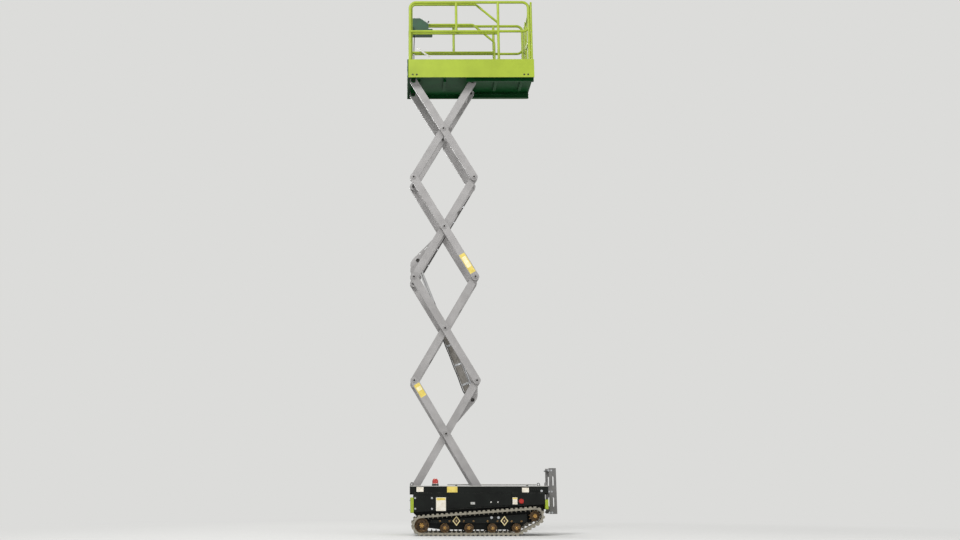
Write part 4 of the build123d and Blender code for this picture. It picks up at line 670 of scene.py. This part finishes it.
dome_low, dome_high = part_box("beacon_dome")
dome_x, dome_y = (dome_low.x + dome_high.x) / 2, (dome_low.y + dome_high.y) / 2
turned("beacon_collar", "chassis", (dome_x, dome_y, dome_low.z), (0, 0, 1),
       ((0.5, 39.4), (0.5, 42), (5, 42), (7, 40.5), (7, 39.4)), bare_steel, 40)
turned("beacon_cap", "chassis", (dome_x, dome_y, dome_high.z), (0, 0, 1),
       ((0.2, 20), (1.2, 19.5), (2.6, 14), (3.2, 6), (3.2, 0)), white_vinyl, 32)

# ------------------------------------------------------------ emergency stop
# A red moulded mushroom button on the left side of the chassis. It stands on a black
# moulded plate, held from behind.

STOP_PLATE_HALF = 0.036
STOP_PLATE_MM = 2

# moulded red plastic: plain and glossy, with fine scuffs on its crown
stop_red, tree, shader = finish_named("moulded_plastic_red", Roughness=0.28)
where, tone = mottled(tree, shader, "B4281F", "A01E18", spot_mm=12)
grained(tree, shader, where, grain_mm=2, depth_mm=0.05, edge_mm=1)
dress(stop_red, "emergency_stop")

stop_low, stop_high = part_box("emergency_stop")
stop_x, stop_z = (stop_low.x + stop_high.x) / 2, (stop_low.z + stop_high.z) / 2
plate("stop_plate_2", "chassis",
      rounded_outline((stop_x - STOP_PLATE_HALF, stop_z - STOP_PLATE_HALF),
                      (stop_x + STOP_PLATE_HALF, stop_z + STOP_PLATE_HALF), 8),
      BOX_SIDE_Y + STOP_PLATE_MM * MM, STOP_PLATE_MM, black_plastic, 0.6)

# ------------------------------------------------------------ ladder
# A bolted ladder of folded steel plate at the rear, painted grey, with slotted side
# plates and three pressed steps whose upstands grip the sole.

STEP_ZS = (0.286, 0.552, 0.822)
STEP_SCREW_X = -0.895
STEP_SCREW_OUT = 0.018
PIP_ROWS = (-0.900, -0.874)
PIPS = 13                   # in a row
PIP_PITCH = 27 * MM
PIP_MM = 4                  # a pip's radius at its foot, and its height
PIP_OVER_STEP = 6 * MM      # above a step's middle

# sprayed steel, mid grey: satin, scuffed to bright metal where boots and hands go
ladder_paint, tree, shader = finish_named("sprayed_steel_grey", Roughness=0.45)
where, tone = mottled(tree, shader, "706F6D", "616060", spot_mm=80)
edge_wear_and_highlight(tree, shader, where, tone, "B9B7B1", edge_mm=3, patch_mm=40)
grained(tree, shader, where, grain_mm=5, depth_mm=0.15, edge_mm=1.5)
dress(ladder_paint, "ladder", "lashing_eyes")

ladder_side_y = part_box("ladder")[1].y
ladder_spots = [((STEP_SCREW_X + dx, sign * ladder_side_y, step_z), (0, sign, 0))
                for sign in (1, -1) for step_z in STEP_ZS for dx in (-STEP_SCREW_OUT, STEP_SCREW_OUT)]
screws("ladder_screws", "chassis", ladder_spots, 13, zinc)

# grip pips pressed up through each step, in two rows
pip_tree, given = tree_with("pressed_pips", ("Pip Radius", "Float"), ("Pip Height", "Float"),
                            ("Finish", "Material"))
half_r = add(pip_tree, "ShaderNodeMath", {0: given["Pip Radius"], 1: 0.55}, operation="MULTIPLY")
pip = add(pip_tree, "GeometryNodeMeshCone",
          {"Vertices": 10, "Radius Top": half_r.outputs["Value"], "Radius Bottom": given["Pip Radius"],
           "Depth": given["Pip Height"]})
stood_on_points(pip_tree, given, pip.outputs["Mesh"], turned_to_face(pip_tree))

pip_spots = [((row_x, (i - PIPS // 2) * PIP_PITCH, step_z + PIP_OVER_STEP), (0, 0, 1))
             for step_z in STEP_ZS for row_x in PIP_ROWS for i in range(PIPS)]
pips = grow(points_facing("step_pips", pip_spots), pip_tree, pip_radius=PIP_MM * MM,
            pip_height=PIP_MM * MM, finish=ladder_paint)
carried(pips, "chassis")

# ------------------------------------------------------------ scissor arms
# Four stages of box-section steel arms, powder coated satin grey. Turned bosses
# carry the pins, and a keeper ring and a washer close each pin's end.

STAGES = 4
KEEPER_MM = 3.0             # how far a keeper ring stands off its arm
INNER_FACE = 0.195          # the inner arms' inner faces
ARM_MM = 1620               # from pin to pin
pivots = {joint["name"]: Vector(joint["pos_m"]) for joint in frame["joints"] if "pos_m" in joint}

# powder coated steel: satin and even, a faint orange-peel, grimy by its edges
arm_paint, tree, shader = finish_named("powder_coated_steel_satin_grey", Roughness=0.42)
where, tone = mottled(tree, shader, "A19F9E", "949291", spot_mm=220)
edge_wear_and_highlight(tree, shader, where, tone, "6D6A69", edge_mm=4, patch_mm=70)
grained(tree, shader, where, grain_mm=4, depth_mm=0.2, edge_mm=3)
# turned steel, oiled: dark with a film of grease and dust
pin_steel, tree, shader = finish_named("turned_steel_oiled_dark", Roughness=0.38, Metallic=0.6)
where, tone = mottled(tree, shader, "3D3B39", "2A2826", spot_mm=14)
grained(tree, shader, where, grain_mm=2, depth_mm=0.2, edge_mm=1)
for stage in range(1, STAGES + 1):
    dress(arm_paint, f"inner_arms_{stage}", f"inner_ties_{stage}", f"outer_arms_{stage}")
    dress(pin_steel, f"outer_pins_{stage}")
dress(arm_paint, "lower_bracket", "upper_bracket")
dress(pin_steel, "base_pins", "deck_pins", "base_rollers", "deck_rollers")

base_pivot, deck_pivot = pivots["lift"], pivots["platform_pin"]
stage_rise = (deck_pivot.z - base_pivot.z) / STAGES
rear_x = pivots["stage_2_rear_pin"].x
outer_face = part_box("outer_arms_2")[1].y


def on_arm(stage, kind, share):
    """A place on an arm's middle line, from its lower pivot to its upper one."""
    low = base_pivot.z + (stage - 1) * stage_rise
    first, second = (base_pivot.x, rear_x) if kind == "inner" else (rear_x, base_pivot.x)
    return Vector((first + (second - first) * share, 0, low + stage_rise * share))


def along_arm(stage, kind):
    """The arm's direction and the direction square to it that points up."""
    run = (on_arm(stage, kind, 1) - on_arm(stage, kind, 0)).normalized()
    up = Vector((run.z, 0, -run.x))
    return run, up if up.z > 0 else -up


# pins: a keeper ring on the arm, then a washer and the turned end of the pin itself
for stage in range(1, STAGES + 1):
    pin_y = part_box(f"outer_pins_{stage}")[1].y
    for share in (0.0, 0.5, 1.0):
        if (stage, share) in ((1, 0.0), (STAGES, 1.0)):
            continue
        at = on_arm(stage, "outer", share)
        for sign in (1, -1):
            tag = f"{stage}_{round(share * 2)}_{'left' if sign > 0 else 'right'}"
            head = Vector((at.x, sign * pin_y, at.z))
            turned(f"pin_keeper_{tag}", f"outer_{stage}", (at.x, sign * outer_face, at.z), (0, sign, 0),
                   ((0.1, 28.5), (0.1, 41), (2, 41), (KEEPER_MM, 39), (KEEPER_MM, 28.5)),
                   arm_paint, 28)
            turned(f"pin_washer_{tag}", f"outer_{stage}", head, (0, sign, 0),
                   ((0.1, 14), (0.1, 26.5), (1.2, 26.5), (2, 25), (2, 15), (1.2, 14)),
                   arm_paint, 28)
            turned(f"pin_end_{tag}", f"outer_{stage}", head, (0, sign, 0),
                   ((0.1, 13.6), (0.6, 13.6), (0.6, 9), (0.2, 8), (0.2, 4), (2.4, 3.6), (2.9, 2), (2.9, 0)),
                   pin_steel, 20)


def strip(first, second, half):
    """Outline of a straight strip between two places, half its width to each side."""
    along = (second - first).normalized()
    across = Vector((along.z, 0, -along.x)) * half
    return [(p.x, p.z) for p in (first - across, second - across, second + across, first + across)]


# pale yellow vinyl: smooth, bleached by the sun until little of its yellow is left
pale_vinyl, tree, shader = finish_named("blank_vinyl_pale_yellow", Roughness=0.5)
where, tone = mottled(tree, shader, "F0E9C4", "E6DBA2", spot_mm=60)
grained(tree, shader, where, grain_mm=6, depth_mm=0.05, edge_mm=0.5)

# yellow labels near the arms' ends, blank, each with a paler field: stage, from and to in mm
LABEL_HALF, FIELD_HALF = 0.041, 0.030
FIELD_FROM, FIELD_TO = 0.09, 0.045
for stage, from_mm, to_mm in ((3, 64, 361), (1, ARM_MM - 245, ARM_MM - 55)):
    run, up = along_arm(stage, "outer")
    first, second = on_arm(stage, "outer", from_mm / ARM_MM), on_arm(stage, "outer", to_mm / ARM_MM)
    plate(f"arm_label_{stage}", f"outer_{stage}", strip(first, second, LABEL_HALF),
          outer_face + LABEL_MM * MM, LABEL_MM, yellow_vinyl, 0.1)
    plate(f"arm_label_field_{stage}", f"outer_{stage}",
          strip(first + run * FIELD_FROM, second - run * FIELD_TO, FIELD_HALF),
          outer_face + 2 * LABEL_MM * MM, LABEL_MM, pale_vinyl, 0.1)


def tube(name, body, points, radius_mm, finish):
    """A round tube along a smooth curve through a short list of points."""
    line = bpy.data.curves.new(name, "CURVE")
    line.dimensions = "3D"
    spline = line.splines.new("NURBS")
    spline.points.add(len(points) - 1)
    for spot, place in zip(spline.points, points):
        spot.co = (*place, 1.0)
    spline.order_u = 3
    spline.use_endpoint_u = True
    line.resolution_u = 6
    line.bevel_depth = radius_mm * MM
    line.bevel_resolution = 3
    line.use_fill_caps = True
    draft = link_object(name, line)
    bpy.context.view_layer.update()
    mesh = bpy.data.meshes.new_from_object(draft.evaluated_get(bpy.context.evaluated_depsgraph_get()))
    bpy.data.objects.remove(draft)
    mesh.materials.clear()
    for face in mesh.polygons:
        face.use_smooth = True
    carried(link_object(name, mesh, finish), body)


# rubber hose and cable sheath: black and dull, dusty on its upper side
hose_rubber, tree, shader = finish_named("hose_rubber_black", Roughness=0.6, Specular_IOR_Level=0.3)
where, tone = mottled(tree, shader, "1A1A1A", "2C2B29", spot_mm=25)
grained(tree, shader, where, grain_mm=1.5, depth_mm=0.1, edge_mm=0.5)

# stack cable: clipped along the inner faces of the inner arms, in and out through their walls
CABLE_MM = 4.5
CABLE_OUT = 44.5 * MM       # from the arm's middle line, clear of the cross tubes
CABLE_BEND = 4 * MM
cable_y = -(INNER_FACE - CABLE_MM * MM - 1 * MM)
into_wall, by_wall = -INNER_FACE - CABLE_BEND, cable_y + CABLE_BEND
for stage in range(1, STAGES + 1):
    run, up = along_arm(stage, "inner")
    lift_off = up * (-CABLE_OUT if stage == 3 else CABLE_OUT)
    path = []
    for share, y in ((0.09, into_wall), (0.09, by_wall), (0.14, cable_y), (0.5, cable_y), (0.86, cable_y),
                     (0.91, by_wall), (0.91, into_wall)):
        place = on_arm(stage, "inner", share) + lift_off
        path.append((place.x, y, place.z))
    tube(f"stack_cable_{stage}", f"inner_{stage}", path, CABLE_MM, hose_rubber)
    for share in (0.2, 0.36, 0.64, 0.8):
        at = on_arm(stage, "inner", share) + lift_off
        at.y = cable_y
        turned(f"cable_clip_{stage}_{round(share * 100)}", f"inner_{stage}", at - run * 0.010, run,
               ((0, CABLE_MM), (0, CABLE_MM + 1.6), (20, CABLE_MM + 1.6), (20, CABLE_MM)), zinc,
               16)

# ------------------------------------------------------------ lift cylinder
# One hydraulic cylinder between the brackets: a painted barrel with a screwed gland,
# a feed pipe clipped along it, and a hard chromed rod.

ROD_EYE = Vector((0.8163, 0, 3.6281))        # on its pin, with the lift raised
BRACKET_FACE = 0.1902
PIPE_MM = 7

# painted barrel: grey and satin, with brown cloudy stains where oil has dried
barrel_paint, tree, shader = finish_named("painted_barrel_oil_stained", Roughness=0.4)
where, tone = mottled(tree, shader, "85817B", "706C65", spot_mm=90)
edge_wear_and_highlight(tree, shader, where, tone, "A8A49B", edge_mm=3, patch_mm=40)
grained(tree, shader, where, grain_mm=4, depth_mm=0.15, edge_mm=2)
# hard chrome, ground: bright and mirror-like with a thin film of oil
rod_chrome, tree, shader = finish_named("ground_hard_chrome", Roughness=0.12, Metallic=1.0)
where, tone = mottled(tree, shader, "D6D6D6", "C4C4C6", spot_mm=60)
grained(tree, shader, where, grain_mm=1, depth_mm=0.02, edge_mm=0.5)
dress(barrel_paint, "cylinder_barrel")
dress(rod_chrome, "cylinder_rod")

foot = pivots["cylinder_foot"]
aim = (ROD_EYE - foot).normalized()
square = Vector((aim.z, 0, -aim.x))


def by_barrel(along_mm, out_mm=0, y=0):
    """A place by the cylinder: along it from its foot, off its middle line, and across."""
    place = foot + aim * along_mm * MM + square * out_mm * MM
    return Vector((place.x, y, place.z))


for along, name, profile in (
    (1000, "gland_ring", ((0, 54.4), (0, 58), (14, 58), (16, 56), (16, 54.4))),
    (1036, "gland_nut_face", ((0, 54.4), (0, 57), (18, 57), (20, 55), (20, 54.4))),
):
    turned(name, "cylinder", by_barrel(along), aim, profile, black_plastic, 40)

# feed pipe: from the valve block at the foot to the gland's port, along the barrel's side
pipe_path = [by_barrel(along, out) for along, out in (
    (110, -50), (110, -68), (150, -69), (520, -69), (930, -69), (978, -68), (978, -50))]
tube("feed_pipe", "cylinder", pipe_path, PIPE_MM, zinc)
for along in (240, 520, 800):
    turned(f"barrel_clamp_{along}", "cylinder", by_barrel(along - 12), aim,
           ((0, 48.3), (0, 51), (24, 51), (24, 48.3)), zinc, 32)

# return hose: a moulded rubber run with a loop under the gland, held at each clamp
hose_path = [by_barrel(along, out, y) for along, out, y in (
    (985, 50, 0.012), (1002, 62, 0.016), (1004, 69, 0.024), (980, 70, 0.034), (940, 66, 0.03),
    (905, 58, 0.012), (800, 62, 0.016), (660, 57, 0.026), (520, 62, 0.012), (380, 57, 0.024),
    (240, 62, 0.012), (140, 62, 0.014), (120, 50, 0.012))]
tube("return_hose", "cylinder", hose_path, PIPE_MM, hose_rubber)

# bracket pins: each ends in a keeper ring round a dark pressed cap
for pin_name, body, at in (("upper", "inner_3", ROD_EYE), ("lower", "inner_1", foot)):
    for side_name, sign in (("left", 1), ("right", -1)):
        face = Vector((at.x, sign * BRACKET_FACE, at.z))
        turned(f"bracket_keeper_{pin_name}_{side_name}", body, face, (0, sign, 0),
               ((0, 25.5), (0, 34), (1.5, 34), (2.5, 32.5), (2.5, 25.5)), arm_paint, 28)
        turned(f"bracket_cap_{pin_name}_{side_name}", body, face, (0, sign, 0),
               ((0.2, 24.8), (1.8, 23.5), (1.8, 12), (0.8, 10), (0.8, 0)), pin_steel, 24)

# ------------------------------------------------------------ platform deck
# A pressed steel deck on folded channels, sprayed dark green below. Lozenges rolled
# into its top keep feet from slipping, and lime toe plates are screwed round it.

LOZENGE_PITCH = 34 * MM
LOZENGE_L = 24 * MM
LOZENGE_W = 7 * MM
LOZENGE_H = 1.5 * MM
EXT_DECK_RISE = 12 * MM     # top of the sliding deck over the fixed one

# sprayed steel, dark green: satin, dusty, paler where it rubs
deck_green, tree, shader = finish_named("sprayed_steel_dark_green", Roughness=0.45,
                                        Specular_IOR_Level=0.1)
where, tone = mottled(tree, shader, "0B3A18", "0F4520", spot_mm=200)
edge_wear_and_highlight(tree, shader, where, tone, "5E7A5F", edge_mm=3, patch_mm=60)
grained(tree, shader, where, grain_mm=5, depth_mm=0.15, edge_mm=2)
dress(deck_green, "deck_frame", "extension_deck")
dress(lime_paint, "toe_plates", "guard_rail_left", "guard_rail_right", "rear_rails", "extension_rails",
      "entry_gate")

# lozenges: laid over a rectangle, turned left and right by turns
tread_tree, given = tree_with("rolled_lozenges", ("Length", "Float"), ("Width", "Float"),
                              ("Height", "Float"), ("Finish", "Material"))
half_l = add(tread_tree, "ShaderNodeMath", {0: given["Length"], 1: 0.5}, operation="MULTIPLY")
slim = add(tread_tree, "ShaderNodeMath", {0: given["Width"], 1: given["Length"]}, operation="DIVIDE")
narrow = add(tread_tree, "ShaderNodeCombineXYZ", {"X": 1.0, "Y": slim.outputs["Value"], "Z": 1.0})
top_r = add(tread_tree, "ShaderNodeMath", {0: half_l.outputs["Value"], 1: 0.62}, operation="MULTIPLY")
bump = add(tread_tree, "GeometryNodeMeshCone",
           {"Vertices": 8, "Radius Top": top_r.outputs["Value"],
            "Radius Bottom": half_l.outputs["Value"], "Depth": given["Height"]}, fill_type="NGON")
shaped = add(tread_tree, "GeometryNodeTransform",
             {"Geometry": bump.outputs["Mesh"], "Scale": narrow.outputs["Vector"]})
number = add(tread_tree, "GeometryNodeInputNamedAttribute", {"Name": "slant"}, data_type="FLOAT")
slant = add(tread_tree, "ShaderNodeCombineXYZ", {"Z": number.outputs["Attribute"]})
stood_on_points(tread_tree, given, shaped.outputs["Geometry"], slant.outputs["Vector"])


def tread_plate(name, body, low, high, top_z, finish):
    """Lozenges over a flat rectangle of deck, all standing on its top face."""
    places, turns = [], []
    rows = int((high.y - low.y) / LOZENGE_PITCH)
    columns = int((high.x - low.x) / LOZENGE_PITCH)
    for row in range(rows):
        for column in range(columns):
            places.append((low.x + (column + 0.5) * (high.x - low.x) / columns,
                           low.y + (row + 0.5) * (high.y - low.y) / rows, top_z))
            turns.append(radians(45 if (row + column) % 2 else -45))
    mesh = bpy.data.meshes.new(name)
    mesh.from_pydata(places, [], [])
    mesh.attributes.new("slant", "FLOAT", "POINT").data.foreach_set("value", turns)
    carried(grow(link_object(name, mesh), tread_tree, length=LOZENGE_L, width=LOZENGE_W,
                 height=LOZENGE_H, finish=finish), body)


deck_low, deck_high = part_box("deck_frame")
ext_low, ext_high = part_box("extension_deck")
# the lozenges stop short of the toe plates and rails round each deck
ext_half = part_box("extension_rails")[1].y - 0.034
tread_plate("extension_tread", "extension", Vector((ext_low.x + 0.02, -ext_half)),
            Vector((ext_high.x - 0.05, ext_half)), deck_high.z + EXT_DECK_RISE, deck_green)
tread_plate("deck_tread", "platform", Vector((deck_low.x + 0.03, deck_low.y + 0.04)),
            Vector((deck_high.x - 0.02, deck_high.y - 0.04)), deck_high.z, deck_green)

# toe plate screws: dark socket cap screws, in pairs at each end
TOE_SCREW_XS = (0.880, 0.825, -0.662, -0.716)
toe_low, toe_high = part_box("toe_plates")
for sign in (1, -1):
    for i, hole_x in enumerate(TOE_SCREW_XS):
        turned(f"toe_screw_{sign + 1}_{i}", "platform",
               (hole_x, sign * (toe_high.y - 3 * MM), toe_low.z + 40 * MM), (0, sign, 0),
               ((0, 0), (0, 7.8), (3.2, 7.8), (3.4, 12.5), (5.5, 12), (6.5, 10), (6.5, 6), (4, 5.5), (4, 0)),
               pin_steel, 20)

# ------------------------------------------------------------ rail sockets
# The guard rails' posts stand in short sockets of thick tube, welded to the deck and
# enamelled with it, so that the rails can be taken down for a low doorway.

SOCKET_MM = 46
POST_R = 19
POST_XS = {"front": 0.916, "full": -0.317, "rear": -0.742}
rail_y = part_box("guard_rail_left")[1].y - POST_R * MM
for post_name, post_x in POST_XS.items():
    for sign in (1, -1):
        turned(f"rail_socket_{post_name}_{sign + 1}", "platform", (post_x, sign * rail_y, deck_high.z),
               (0, 0, 1), ((0.2, POST_R + 0.3), (0.2, POST_R + 5), (SOCKET_MM - 2, POST_R + 5),
                           (SOCKET_MM, POST_R + 3.5), (SOCKET_MM, POST_R + 0.3)),
               lime_paint, 28)

# ------------------------------------------------------------ entry gate
# A swing gate across the rear, on a sprung hinge post. A yellow moulded cap covers
# the spring, over its black adjuster.

gate_hinge = pivots["gate_swing"]

# moulded yellow plastic: plain, slightly faded
yellow_plastic, tree, shader = finish_named("moulded_plastic_yellow", Roughness=0.4)
where, tone = mottled(tree, shader, "DDCB22", "C7B41C", spot_mm=20)
grained(tree, shader, where, grain_mm=2, depth_mm=0.05, edge_mm=1.5)
plate("gate_spring_cap", "platform", rounded_outline((-0.788, 6.752), (-0.750, 6.812), 8), 0.318, 26,
      yellow_plastic, 3)
plate("gate_adjuster", "platform", rounded_outline((-0.784, 6.716), (-0.754, 6.750), 5), 0.312, 20,
      black_plastic, 2)
gate_low, gate_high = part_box("entry_gate")
for hinge_z in (gate_low.z + 0.06, gate_high.z - 0.10):
    turned(f"gate_hinge_{round(hinge_z * 100)}", "gate", (gate_hinge.x, gate_hinge.y, hinge_z), (0, 0, 1),
           ((0, 15.2), (0, 18.5), (38, 18.5), (38, 15.2)), bare_steel, 28)

# ------------------------------------------------------------ control box
# A moulded console on a sheet steel tray, hung from the sliding deck's far rail. Its
# lid carries a joystick, push buttons and a blank screen.

# moulded plastic, dark green: matt, a little dusty
console_shell, tree, shader = finish_named("moulded_plastic_dark_green", Roughness=0.5)
where, tone = mottled(tree, shader, "14492B", "103B23", spot_mm=60)
grained(tree, shader, where, grain_mm=1.5, depth_mm=0.08, edge_mm=3)
dress(console_shell, "control_box")
# anodised lid: pale grey, fine and even
lid_grey, tree, shader = finish_named("anodised_sheet_pale_grey", Roughness=0.4, Metallic=0.5)
where, tone = mottled(tree, shader, "B5B9B6", "A3A7A4", spot_mm=50)
grained(tree, shader, where, grain_mm=1, depth_mm=0.05, edge_mm=1)

box_low, box_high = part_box("control_box")
FLAT_L = 112 * MM           # level part of the console's top, and the slope behind it
SLOPE_L = 124 * MM
SLOPE_DROP = 87 * MM
LID_T = 3 * MM
flat_back = box_high.x - FLAT_L
near_y = box_high.y - 8 * MM
console_mid_y = (near_y + box_low.y) / 2
slope = Vector((-SLOPE_L, 0, -SLOPE_DROP)).normalized()
slope_up = Vector((slope.z, 0, -slope.x))


def on_lid(down_mm, across_mm, up_mm=0.0):
    """A place on the sloping lid: down its slope, across it towards the left, and off it."""
    top_edge = Vector((flat_back, console_mid_y, box_high.z))
    return top_edge + slope * down_mm * MM + Vector((0, across_mm * MM, 0)) + slope_up * up_mm * MM


def lid_plate(name, down_mm, across_mm, half_l, half_w, layers, finish):
    """A stepped plate on the lid; layers are (height off the lid, inset from the edge) in mm."""
    pressed = bmesh.new()
    rows = [[pressed.verts.new(on_lid(down_mm + down * (half_l - inset),
                                      across_mm + across * (half_w - inset), up_mm))
             for down, across in ((-1, -1), (1, -1), (1, 1), (-1, 1))] for up_mm, inset in layers]
    for first, second in zip(rows, rows[1:]):
        for i in range(4):
            pressed.faces.new((first[i], first[(i + 1) % 4], second[(i + 1) % 4], second[i]))
    pressed.faces.new(rows[0])
    pressed.faces.new(rows[-1])
    carried(link_object(name, mesh_from(name, pressed), finish), "extension")


lid_plate("console_lid", 78, 0, 71, 60, ((0.1, 0), (2.2, 0), (3.0, 0.8)), lid_grey)
# screen: blank glass sunk in a raised black frame
lid_plate("console_screen", 36, 24, 24, 30, ((3.0, 0), (5.2, 0), (6.0, 1.0), (6.0, 4.0), (4.8, 4.6)),
          black_plastic)
# pale strip down the console's near side, under its top edge: a painted highlight along that edge
STRIP_FROM, STRIP_TO = 0.5 * MM, 6 * MM      # below the top edge
STRIP_MM = 1.5
top_line = ((box_high.x, box_high.z), (flat_back, box_high.z), (flat_back - SLOPE_L, box_high.z - SLOPE_DROP))
edge_line = [(x, z - STRIP_FROM) for x, z in top_line] + [(x, z - STRIP_TO) for x, z in reversed(top_line)]
plate("console_edge_strip", "extension", edge_line, near_y + STRIP_MM * MM, STRIP_MM, lid_grey,
      0)

# moulded plastic, signal green: plain and glossy
green_plastic, tree, shader = finish_named("moulded_plastic_green", Roughness=0.3)
where, tone = mottled(tree, shader, "3E9A3A", "348A31", spot_mm=10)
grained(tree, shader, where, grain_mm=2, depth_mm=0.05, edge_mm=1)
# push buttons: name, down the lid, across it, radius, finish
for button_name, down_mm, across_mm, radius, finish in (
    ("enable", 84, 40, 8, green_plastic), ("lift", 84, 20, 8, yellow_plastic),
    ("horn", 84, 0, 8, black_plastic), ("stop", 40, -32, 15, stop_red),
):
    turned(f"console_button_{button_name}", "extension", on_lid(down_mm, across_mm, LID_T / MM), slope_up,
           ((0.1, 0), (0.1, radius + 3), (3, radius + 3), (4, radius + 1), (4, radius), (9, radius),
            (11, radius * 0.8), (11.6, radius * 0.4), (11.6, 0)), finish, 24)
# joystick: a ribbed rubber boot and a waisted grip
turned("joystick", "extension", on_lid(116, -22, LID_T / MM), slope_up,
       ((0.5, 0), (0.5, 24), (3, 24), (7, 19), (8, 21), (12, 15), (13, 17), (17, 11), (18, 12), (22, 7),
        (23, 5.5), (34, 5), (38, 9), (50, 11), (58, 10), (62, 6), (63, 0)), black_plastic,
       28)

# fixed cable: out of the tray, down the rail's post in clips, and in through the deck
CABLE_X = 0.856
CLIP_LOW_X, CLIP_HIGH_X, CLIP_H = 0.848, 0.886, 0.014
far_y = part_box("extension_rails")[0].y + 16 * MM
tube("console_cable", "extension",
     [(0.850, -0.262, box_low.z + 4 * MM), (0.850, -0.262, 7.040), (0.852, -0.285, 6.985)]
     + [(CABLE_X, far_y, z) for z in (6.900, 6.700, 6.450, 6.300, 6.236)],
     6, hose_rubber)
for clip_z in (6.80, 6.56, 6.34):
    plate(f"cable_clip_{round(clip_z * 100)}", "extension",
          rounded_outline((CLIP_LOW_X, clip_z), (CLIP_HIGH_X, clip_z + CLIP_H), 3), far_y + 8 * MM, 16,
          bare_steel, 0.5)

# lock lever: a flat bar pivoted on the far middle rail, that pins the sliding deck
LEVER_HALF = 0.011
PIVOT_SHARE = 0.42
first, second = Vector((0.810, 0, 6.906)), Vector((0.620, 0, 6.766))
plate("deck_lock_lever", "extension", strip(first, second, LEVER_HALF), far_y + 24 * MM, 7, bare_steel,
      2)
lever_pivot = first.lerp(second, PIVOT_SHARE)
turned("lever_pivot", "extension", (lever_pivot.x, far_y + 14 * MM, lever_pivot.z), (0, 1, 0),
       ((0, 0), (0, 14), (3, 14), (3, 10), (12, 10), (14, 7), (14, 0)), zinc, 20)

# ------------------------------------------------------------ chassis trim
# A pale strip of angle along the chassis' top edges is a painted highlight, where light from
# above falls on them. The lift's safety prop, a long round bar, lies along the far side in two saddles.

EDGE_Z = 0.6233             # top of the band that the angle lies on
EDGE_INSET = 4 * MM
HIGHLIGHT_STRIP_DROP = 8 * MM
HIGHLIGHT_STRIP_RISE = 1.5 * MM
PROP_Y, PROP_Z = -0.385, 0.646
PROP_MM = 7
SADDLE_HALF = 0.014
base_low, base_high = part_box("base_frame")
# each pale strip is a painted highlight where light from above falls on the band's top edge
for sign in (1, -1):
    plate(f"edge_angle_{sign + 1}", "chassis",
          [(base_low.x + EDGE_INSET, EDGE_Z - HIGHLIGHT_STRIP_DROP), (base_high.x - EDGE_INSET, EDGE_Z - HIGHLIGHT_STRIP_DROP),
           (base_high.x - EDGE_INSET, EDGE_Z + HIGHLIGHT_STRIP_RISE), (base_low.x + EDGE_INSET, EDGE_Z + HIGHLIGHT_STRIP_RISE)],
          sign * (base_high.y + 0.9 * MM), 14, bare_steel, 0.4)
tube("safety_prop", "chassis", [(x, PROP_Y, PROP_Z) for x in (0.42, 0.1, -0.4, -0.78)], PROP_MM,
     bare_steel)
for saddle_name, saddle_x in (("front", 0.30), ("rear", -0.66)):
    plate(f"prop_saddle_{saddle_name}", "chassis",
          rounded_outline((saddle_x - SADDLE_HALF, EDGE_Z - 1 * MM),
                          (saddle_x + SADDLE_HALF, PROP_Z - 2 * MM), 4),
          PROP_Y - 10 * MM, 22, chassis_paint, 1)
